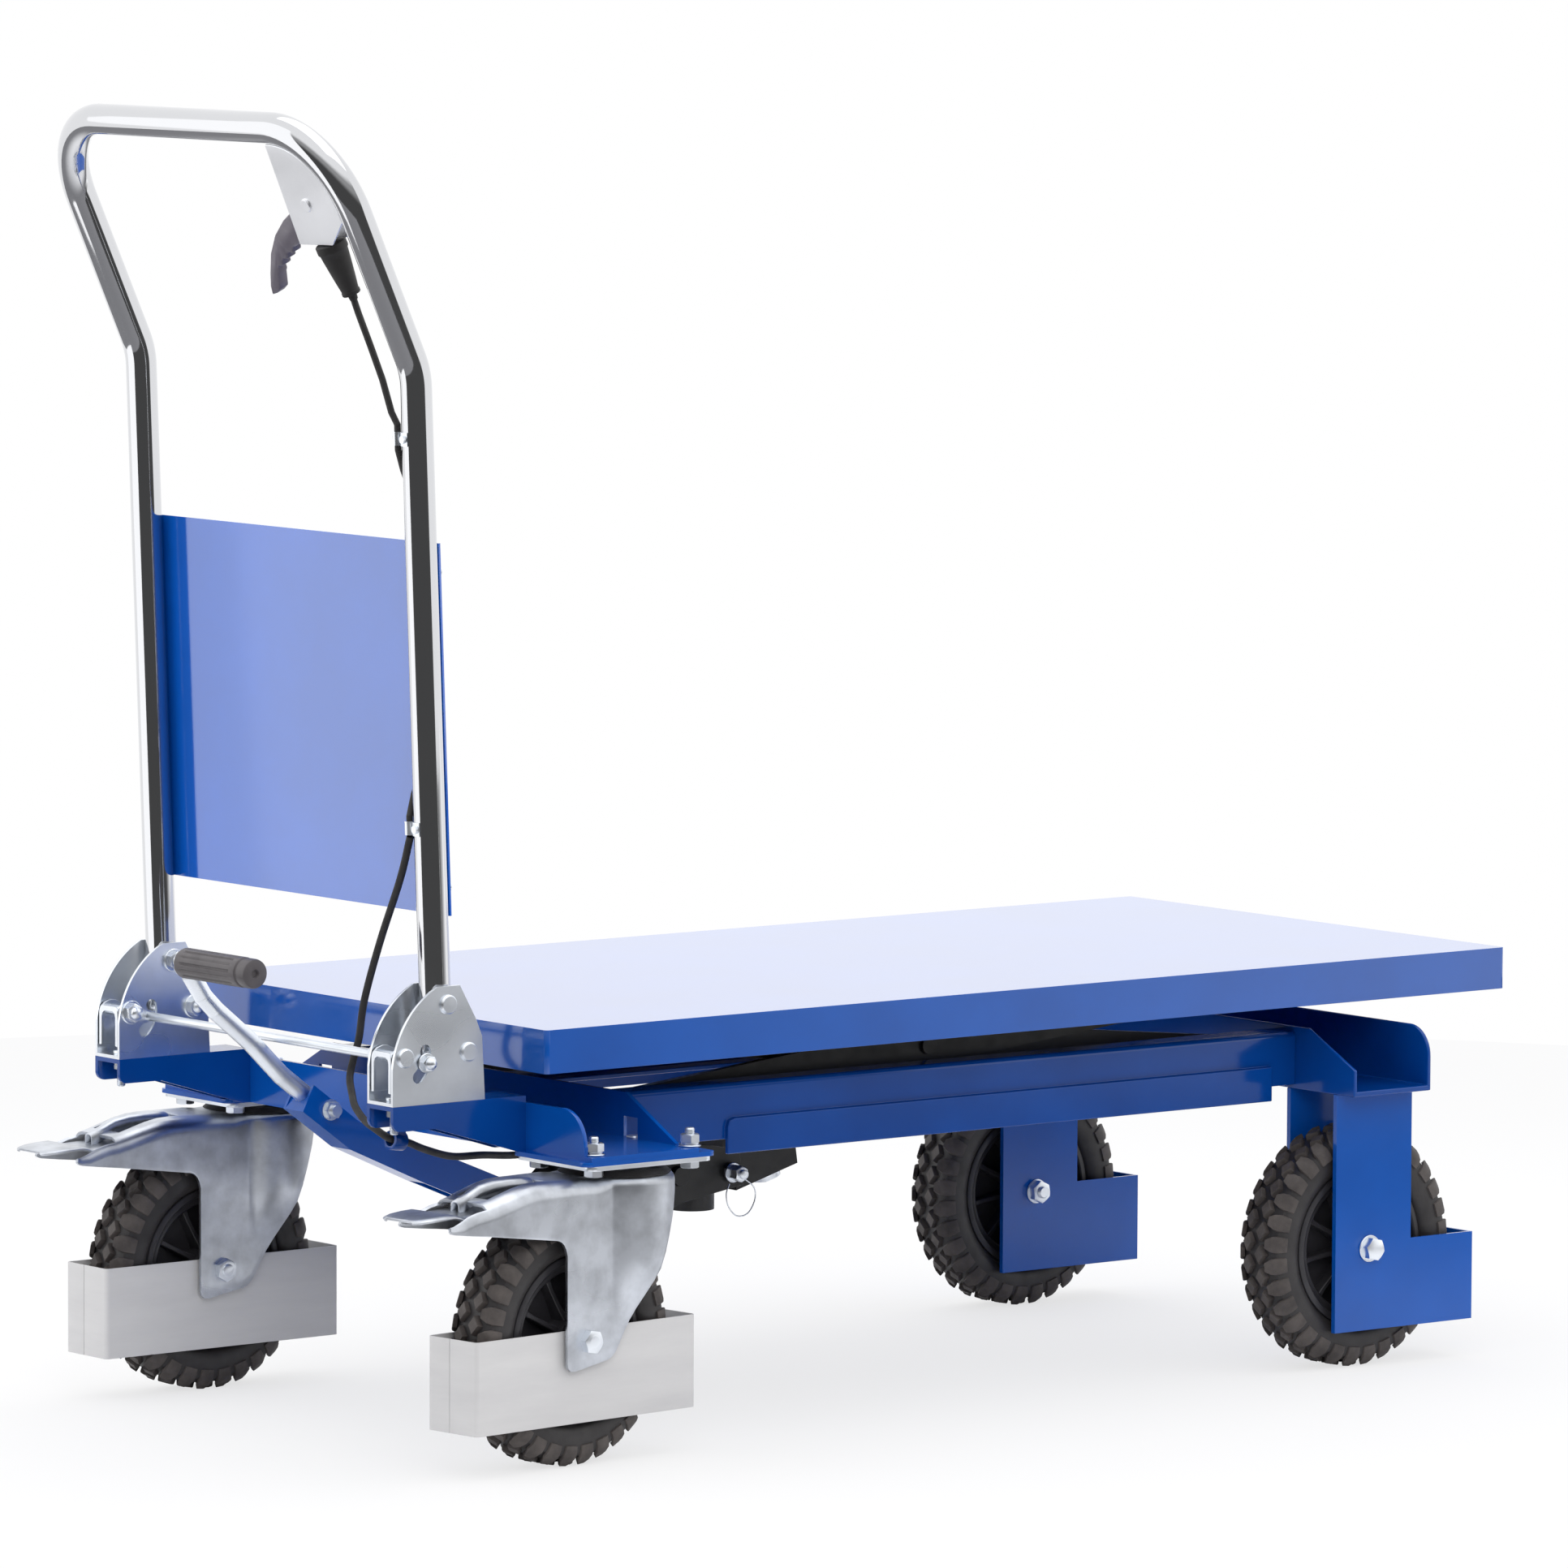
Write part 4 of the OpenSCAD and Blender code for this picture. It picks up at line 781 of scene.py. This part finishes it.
def brake(hand):
    """Brake pedal: a bent tongue with a stiffening rib, and a raised spoon in the window of the fork."""
    place = caster_place(hand)
    rows = [(-0.098, -0.017, 0.024), (-0.13, -0.018, 0.026), (-0.17, -0.0195, 0.0265), (-0.196, -0.0205, 0.027),
            (-0.204, -0.0205, 0.028), (-0.2085, -0.0185, 0.0285), (-0.214, -0.0172, 0.0285),
            (-0.226, -0.0176, 0.0285), (-0.24, -0.0186, 0.027), (-0.2485, -0.0194, 0.0235),
            (-0.252, -0.0199, 0.017)]  # (x, height from the fork's top, half width)
    tongue = Build(place)
    tongue.skin([[(x, share * half, FORK_TOP + z + 0.0035 * (1 - abs(share)) ** 2 * smooth(-0.2, -0.17, x)
                   - 0.0014 * (abs(share) > 0.95)) for share in (-1, -0.93, -0.6, -0.3, 0, 0.3, 0.6, 0.93, 1)]
                 for x, z, half in rows], flip=True)
    sheet(piece("brake_tongue_" + hand, tongue, GALVANISED, "brake_" + hand, ("brake_lever_" + hand,),
                40), 0.0025, rim=0.0006)
    rows = [(-0.1035, 0.004, 0.0005), (-0.105, 0.0085, 0.0022), (-0.109, 0.011, 0.0038),
            (-0.12, 0.0105, 0.0046), (-0.133, 0.0088, 0.0046), (-0.148, 0.0066, 0.0034),
            (-0.162, 0.0048, 0.0004), (-0.174, 0.004, -0.0052),
            (-0.188, 0.004, -0.011)]  # (x, half width, rise)
    spoon = Build(place)
    spoon.skin([[(x, -math.cos(a) * half, fork_top(-0.11) + rise - 0.0035 * (1 - math.sin(a)) ** 1.5
                  - (0.006 if a in (0, math.pi) else 0)) for a in (math.pi * k / 8 for k in range(9))]
                for x, half, rise in rows], flip=True)
    sheet(piece("brake_spoon_" + hand, spoon, GALVANISED, "brake_" + hand, (), 60), 0.002)


def rivet(hand):
    """Hollow rivet through the fork's cheeks, on which the brake lever turns."""
    b = Build(caster_place(hand) @ Matrix.Translation((BRAKE_PIN[0], 0, BRAKE_PIN[1])))
    for side in (-1, 1):
        b.lathe([(r, side * y) for r, y in ((0.003, 0.035), (0.0046, 0.0352), (0.0068, 0.0364), (0.0066, 0.0374),
                                            (0.0046, 0.038), (0.003, 0.0376), (0.0026, 0.0362), (0.0004, 0.036))],
                40)
    piece("brake_rivet_" + hand, b, ZINC, "caster_" + hand, (), 40)


def guard(hand):
    """Wheel guard: a strip bent round four corners, its ends meeting in a seam at the front."""
    low, high = -TRAIL - 0.1256, -TRAIL + 0.1344
    half, radius, seam = 0.0316, 0.004, 0.0035
    outline = [(low, seam + 0.0003)]
    for cx, cy, start in ((low + radius, half - radius, 180), (high - radius, half - radius, 90),
                          (high - radius, radius - half, 0), (low + radius, radius - half, -90)):
        for k in range(7):
            a = math.radians(start - 15 * k)
            outline.append((cx + radius * math.cos(a), cy + radius * math.sin(a)))
    outline.append((low, seam - 0.0003))
    b = Build(caster_place(hand))
    b.skin([[(x, y, z) for x, y in outline] for z in (AXLE_Z - 0.0723, AXLE_Z + 0.0102)])
    sheet(piece("guard_strip_" + hand, b, GREY, "caster_" + hand, ("wheel_guard_" + hand,), 40),
          0.0015, 1, 0.0003)


def casters():
    """Both front casters with their brakes and guards."""
    for hand in SIDES:
        fork(hand)
        brake(hand)
        guard(hand)
        rivet(hand)
        axle_bolts(hand)


# ---- handle, pedal and cable ----

def handle():
    """One chromed tube, bent from the foot of one post over the hand bar to the foot of the other."""
    radius, bend_r, corner_r = TUBE_R - 0.00003, 0.07, 0.08
    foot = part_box("handle_posts")[0].z - HINGE.z + 0.0006
    post, upper = post_frame(), upper_frame()
    tangent = bend_r * math.tan(BEND / 2)
    path = [post @ Vector((0, -POST_Y, foot + (POST_L - tangent - foot) * k / 6)) for k in range(7)]
    for k in range(1, 9):
        a = BEND * k / 8
        path.append(post @ Vector((-bend_r * (1 - math.cos(a)), -POST_Y, POST_L - tangent + bend_r * math.sin(a))))
    straight = UPPER_L - corner_r
    path += [upper @ Vector((0, -POST_Y, tangent + (straight - tangent) * k / 4)) for k in range(1, 5)]
    for k in range(1, 17):
        a = math.pi / 2 * k / 16
        path.append(upper @ Vector((0, -POST_Y + corner_r * (1 - math.cos(a)), straight + corner_r * math.sin(a))))
    path += [upper @ Vector((0, (-POST_Y + corner_r) * (1 - k / 4), UPPER_L)) for k in range(1, 4)]
    middle = upper @ Vector((0, 0, UPPER_L))
    b = Build()
    sweep(b, [*path, middle, *[Vector((q.x, -q.y, q.z)) for q in reversed(path)]], radius, 72)
    piece("handle_bow", b, CHROME, "handle", ("handle_posts", "hand_bar"), 60)


def millimetres(points):
    """Points given in millimetres, as metres."""
    return [(x * MM, z * MM) for x, z in points]


def lock():
    """Rod across both brackets with domed nuts on its ends, and the U-shaped pawl it lifts in each bracket."""
    low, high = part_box("lock_rod")
    x, z = (low.x + high.x) / 2, (low.z + high.z) / 2
    end = high.y - 0.0136
    b = Build(Matrix.Translation((x, 0, z)))
    b.lathe([(0.0005, -end - 0.009), (0.004, -end - 0.009), (0.004, end + 0.009), (0.0005, end + 0.009)], 48)
    for side in SIDES.values():
        b.place = along((x, 0, z), (0, side, 0), 0.35)
        washer(b, 0.0086, end + 0.001, end + 0.0026)
        hexagon(b, 0.0128, end + 0.0026, end + 0.0082)
        dome(b, 0.0056, end + 0.0082, 0.0052)
    piece("lock_bar", b, ZINC, "lock", ("lock_rod",), 40)
    rx, rz = (x - HINGE.x) / MM, (z - HINGE.z) / MM
    cheek = millimetres([
        (-58, -75), (-41, -75), (-40, -54), (rx - 2, rz - 6), (rx + 4, rz - 5), (rx + 6.5, rz), (rx + 4, rz + 5),
        (rx - 2, rz + 6.5), (-42, -35.5), (-47, -35), (-53, -37), (-57, -41)])
    arch = millimetres([
        (-14.6, -75), (-10.6, -75), (-10.6, -49), (-9.4, -45.6), (-6.4, -44), (6.4, -44), (9.4, -45.6),
        (10.6, -49), (10.6, -75), (14.6, -75), (14.6, -44), (13.2, -41), (10.2, -39.2), (-10.2, -39.2),
        (-13.2, -41), (-14.6, -44)])
    b = Build()
    for side in SIDES.values():
        place = Matrix.Translation((HINGE.x, side * POST_Y, HINGE.z))
        b.place = place
        for y in (-0.0146, 0.0121):
            b.prism(cheek, y, y + 0.0025, 0.0003)
        b.place = place @ turned(90, "Z")
        b.prism(arch, 0.0555, 0.058, 0.0003)
    piece("lock_jaws", b, ZINC, "lock", ("lock_pawls",), 40)


def pedal():
    """Ribbed rubber sleeve at the end of the foot lever."""
    low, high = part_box("pedal_grip")
    x, z = (low.x + high.x) / 2, (low.z + high.z) / 2
    radius = (high.z - low.z) / 2
    steps, ribs = 120, 14
    stations = [(high.y - d, share, cut) for d, share, cut in (
        (0, 0.86, 0), (0.0006, 0.95, 0), (0.0022, 1.0, 0), (0.009, 1.0, 0), (0.0115, 1.0, 1))]
    stations += [(low.y + d, share, cut) for d, share, cut in (
        (0.0245, 1.0, 1), (0.0225, 1.0, 0), (0.0165, 1.0, 0), (0.0152, 0.985, 0), (0.0142, 0.9, 0), (0.012, 0.9, 0),
        (0.0108, 0.975, 0), (0.003, 0.975, 0), (0.0008, 0.93, 0), (0, 0.84, 0), (0, 0.3, 0), (0.0012, 0.24, 0),
        (0.003, 0.22, 0), (0.003, 0.03, 0))]  # (y, share of the radius, 1 where grooved)
    rings = []
    for y, share, cut in stations:
        ring = []
        for k, a in enumerate(circle(steps)):
            wave = (k * ribs / steps) % 1
            r = radius * share - 0.0013 * cut * smooth(0.56, 0.66, wave) * (1 - smooth(0.88, 0.98, wave))
            ring.append((x + r * math.cos(a), y, z + r * math.sin(a)))
        rings.append(ring)
    b = Build()
    b.skin(rings, True, (0, 1))
    piece("pedal_sleeve", b, GRIP, "pedal", ("pedal_grip",), 40)


def trigger():
    """Cast lever with finger notches, between the plates on the post."""
    outline = millimetres([
        (56, -57), (64, -60), (85, -76), (108, -88), (129, -103), (146, -121), (158, -140), (165, -153),
        (167, -162), (160, -160.5), (152, -156), (149, -149), (146, -142), (143.6, -139.6), (143.4, -136.2),
        (140.4, -133.4), (136.6, -133.2), (133.4, -131.6), (132.6, -127.8), (129, -125.6), (125.2, -126),
        (122, -124.6), (121, -120.8), (117.2, -118.8), (113.4, -119.6), (110.2, -118.2), (108.6, -114.4),
        (104, -112.4), (95, -109), (80, -99), (56, -82), (47, -78), (43, -69), (47, -60)])
    b = Build(upper_frame() @ Matrix.Translation((0, -POST_Y, UPPER_L)) @ turned(90, "Z"))
    b.prism(outline, -0.0055, 0.0055, 0.0013)
    piece("squeeze_lever", b, LEVER, "trigger", ("release_lever",), 50)


def boot():
    """Rubber boot over the cable's end, its collar against the trigger's plates."""
    b = Build(upper_frame() @ Matrix.Translation((0, -POST_Y + 0.0555, UPPER_L - 0.1107)) @ turned(86, "X"))
    b.lathe([(0.0026, -0.053), (0.0036, -0.053), (0.0043, -0.0478), (0.0078, -0.0478), (0.0084, -0.047),
             (0.0084, -0.0446), (0.0078, -0.0436), (0.008, -0.0425), (0.0093, -0.034), (0.0108, -0.023),
             (0.0121, -0.013), (0.0128, -0.0068), (0.0138, -0.0056), (0.014, -0.0046), (0.014, 0.0012),
             (0.0133, 0.0019), (0.011, 0.0019), (0.0031, 0.0019)], 64)
    piece("trigger_boot", b, RUBBER, "handle", ("cable_boot",), 40)


LOWER_ROUTE = [  # millimetres from the fold pivot, at the right post
    (-15.6, 15.5, 144.9), (-13, 34, 106), (-10, 68, 48), (-9, 92.6, -5), (-9, 101, -40), (-10, 109, -62),
    (-15, 106.6, -76), (-23, 92, -88), (-31, 76, -97), (-37, 53, -106.5), (-39, 34, -112), (-35, 22.5, -118),
    (-25, 22.1, -121.6), (-12, 23.6, -124.5), (19, 39.6, -135), (65, 63.6, -147), (114.1, 85.6, -152),
    (191.2, 141.6, -164), (246.2, 161.6, -166), (277.2, 162.1, -170), (307, 162.6, -181)]


def lower_cable():
    """Release cable from the post's lower clip through the guide ring to the pump."""
    path = smooth_path([HINGE + Vector((x * MM, y * MM - POST_Y - HINGE.y, z * MM)) for x, y, z in LOWER_ROUTE], 6)
    b = Build()
    sweep(b, path, 0.0033, 16)
    obj = shape("release_cable", b, RUBBER, 50)
    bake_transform(obj)
    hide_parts("lower_cable")


def lanyard():
    """Bolt in the pump's ear and the thin wire loop that hangs from it."""
    low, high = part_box("lynch_pin")
    x, z = (low.x + high.x) / 2, high.z - 0.0087
    b = Build(along((x, 0, z), (0, -1, 0)))
    hexagon(b, 0.013, -high.y, -low.y - 0.0045)
    washer(b, 0.0092, -low.y - 0.019, -low.y - 0.0172)
    stud(b, 0.0044, -low.y - 0.0052, -low.y - 0.0004)
    b.place = Matrix.Identity(4)
    top = Vector((x, low.y + 0.004, z - 0.003))
    loop = [top + Vector(v) for v in ((0, 0, 0), (0.0135, 0.001, -0.01), (0.015, 0.0015, -0.022),
                                      (0.0065, 0.001, -0.0335), (-0.007, 0, -0.0345), (-0.0165, 0, -0.025),
                                      (-0.018, 0.001, -0.014), (-0.013, 0.003, -0.005))]
    sweep(b, smooth_path(loop, 8), 0.0006, 10)
    piece("pump_bolt_and_wire", b, ZINC, "frame", ("lynch_pin",), 40)


def bead(build, start, finish, radius, step=0.0042):
    """Scalloped weld along a line, with one scallop for each step."""
    start, finish = Vector(start), Vector(finish)
    count = 4 * max(2, int((finish - start).length / step))
    path, radii = [], []
    for k in range(count + 1):
        path.append(start.lerp(finish, k / count))
        radii.append(radius * (0.82 + 0.18 * abs(math.sin(math.pi * k / 4)) + 0.06 * random.random()))
    sweep(build, path, radii, 10)


def welds():
    """Weld beads along the rear legs' feet on the rear crossbeam."""
    random.seed(11)
    b = Build()
    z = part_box("rear_crossbeam")[0].z + 0.0015
    for hand, side in SIDES.items():
        low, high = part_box("rear_leg_" + hand)
        y = side * max(abs(low.y), abs(high.y))
        bead(b, (low.x + 0.004, y, z), (low.x + 0.072, y, z), 0.0016)
    piece("weld_beads", b, BLUE, "frame", (), 60)


# ---- surroundings ----

DIM_FROM, DIM_TO = -200, -60  # the unlit side of the studio: degrees round from +X
STUDIO_LIGHT, STUDIO_DIM = 1.15, 1.07  # strength of the studio's walls, and what its unlit side loses
FLOOR_LIFT = 0.72  # share of plain white in the floor as the camera sees it
FLOOR_TONE = (0.92, 0.92, 0.925)
FLOOR_FAR_SHADE = (0.22, 0.22, 0.23)  # its far part, as reflections see it: painted shade where the studio's light falls off
CAMERA_AT = Vector((-5.97805, -7.7023, 1.4957))
AZIMUTH, PITCH_UP, ROLL = (math.radians(a) for a in (-37.926, 5.539, 0.251))


def world():
    """White studio whose lower part is unlit toward the photographer; the camera sees plain white."""
    made = bpy.data.worlds.new("studio")
    bpy.context.scene.world = made
    made.use_nodes = True
    made.node_tree.nodes.clear()
    m = Nodes(made.node_tree)
    split = m.add("SeparateXYZ")
    m.link(m.add("TexCoord").outputs["Generated"], split.inputs[0])
    x, y, z = split.outputs
    flat = m.maths("SQRT", m.maths("ADD", m.maths("MULTIPLY", x, x), m.maths("MULTIPLY", y, y)), 0)
    middle = math.radians((DIM_FROM + DIM_TO) / 2)
    ahead = m.maths("ADD", m.maths("MULTIPLY", x, math.cos(middle)), m.maths("MULTIPLY", y, math.sin(middle)))
    facing = m.maths("DIVIDE", ahead, m.maths("MAXIMUM", flat, 0.001))
    edge = math.cos(math.radians((DIM_TO - DIM_FROM) / 2))
    rise = m.maths("ADD", m.maths("MULTIPLY", m.span(z, 0.02, 0.3), 0.3),
                   m.maths("MULTIPLY", m.span(z, 0.35, 0.6), 0.7))
    shade = m.maths("MULTIPLY", m.span(facing, edge - 0.03, edge + 0.05), m.maths("SUBTRACT", 1, rise))
    light = m.maths("SUBTRACT", STUDIO_LIGHT, m.maths("MULTIPLY", shade, STUDIO_DIM))
    eye = m.add("LightPath").outputs["Is Camera Ray"]
    seen = m.maths("ADD", m.maths("MULTIPLY", light, m.maths("SUBTRACT", 1, eye)), eye)
    background = m.add("Background", Strength=1.0)
    m.link(seen, background.inputs["Color"])
    m.link(background.outputs[0], m.add("OutputWorld").inputs[0])


def card(name, foot, end, low, high, start, finish):
    """Upright lit card from foot to end; its light runs from start to finish along it. The camera does not see it."""
    (x0, y0), (x1, y1) = foot, end
    mesh = bpy.data.meshes.new(name)
    mesh.from_pydata([(x0, y0, low), (x1, y1, low), (x1, y1, high), (x0, y0, high)], [], [(0, 1, 2, 3)])
    mesh.uv_layers.new(name="along").data.foreach_set("uv", [0, 0, 1, 0, 1, 1, 0, 1])
    m = Shader(name)
    split = m.add("SeparateXYZ")
    m.link(m.add("TexCoord").outputs["UV"], split.inputs[0])
    glow = m.add("Emission")
    m.link(m.span(split.outputs["X"], 0, 1, start, finish, "LINEAR"), glow.inputs["Strength"])
    m.surface(glow.outputs[0])
    mesh.materials.append(m.mat)
    obj = put(name, mesh)
    obj.visible_camera = False
    obj.visible_shadow = False


def floor():
    """Pale floor that keeps the soft shadows and fades into the white cove; its far part is painted darker, as
    painted shade where it is little lit.
    """
    bpy.ops.mesh.primitive_circle_add(vertices=128, radius=2.6, fill_type="NGON", location=(0.1, 0.1, 0))
    obj = bpy.context.object
    obj.name = "studio_floor"
    m = Shader("pale_floor", Base_Color=FLOOR_TONE, Roughness=0.9)
    length = m.add("VectorMath")
    length.operation = "LENGTH"
    m.link(m.add("TexCoord").outputs["Object"], length.inputs[0])
    away = length.outputs["Value"]
    eye = m.add("LightPath").outputs["Is Camera Ray"]
    tone = m.add("MixRGB", Color1=(*FLOOR_TONE, 1), Color2=(*FLOOR_FAR_SHADE, 1))
    # painted shade: away from the middle, reflections see the floor's darker tone
    m.link(m.maths("MULTIPLY", m.span(away, 0.75, 1.8), m.maths("SUBTRACT", 1, eye)), tone.inputs["Fac"])
    m.link(tone.outputs["Color"], m.bsdf.inputs["Base Color"])
    white = m.add("Emission", Color=(0.965, 0.965, 0.97, 1), Strength=1.0)
    mix = m.add("MixShader")
    m.link(m.maths("MULTIPLY", m.span(away, 0.9, 2.5, FLOOR_LIFT), eye), mix.inputs["Fac"])
    m.link(m.bsdf.outputs[0], mix.inputs[1])
    m.link(white.outputs[0], mix.inputs[2])
    m.surface(mix.outputs[0])
    obj.data.materials.append(m.mat)


def lamp(name, at, target, size, power, glossy=True):
    """Soft lamp turned to a target."""
    data = bpy.data.lights.new(name, "AREA")
    data.shape = "RECTANGLE"
    data.size, data.size_y = size
    data.energy = power
    obj = put(name, data)
    obj.location = at
    obj.rotation_mode = "QUATERNION"
    obj.rotation_quaternion = (Vector(target) - Vector(at)).to_track_quat("-Z", "Y")
    obj.visible_glossy = glossy


def camera():
    """The photograph's viewpoint: a long lens, a little above the deck, in front of the handle's right."""
    data = bpy.data.cameras.new("view")
    data.sensor_width = 36
    data.lens = 245.8
    data.clip_end = 60
    obj = put("view", data)
    back = Vector((math.sin(AZIMUTH) * math.cos(PITCH_UP), -math.cos(AZIMUTH) * math.cos(PITCH_UP),
                   math.sin(PITCH_UP)))
    right = Vector((math.cos(AZIMUTH), math.sin(AZIMUTH), 0))
    up = back.cross(right)
    level = math.cos(ROLL) * right + math.sin(ROLL) * up
    tall = math.cos(ROLL) * up - math.sin(ROLL) * right
    obj.matrix_world = Matrix.Translation(CAMERA_AT) @ Matrix((level, tall, back)).transposed().to_4x4()
    bpy.context.scene.camera = obj


dress_cad()
wheels()
casters()
caster_bolts()
bracket_pins()
handle()
lock()
pedal()
trigger()
boot()
lower_cable()
lanyard()
welds()
world()
floor()
card("side_card", (-1.64, 0.15), (-1.64, 1.7), 0.15, 2.1, 1.5, 1.5)
card("front_card", (0.4, -1.8), (2.3, -1.2), 0.1, 0.42, 0.08, 1.6)
lamp("overhead", (0.2, -0.1, 3.2), (0, -0.1, 0.3), (3.0, 2.4), 18)
lamp("front_fill", (-1.9, -3.2, 2.0), (0, 0, 0.4), (2.2, 1.6), 30, glossy=False)
camera()
bpy.context.scene.view_settings.view_transform = "Standard"
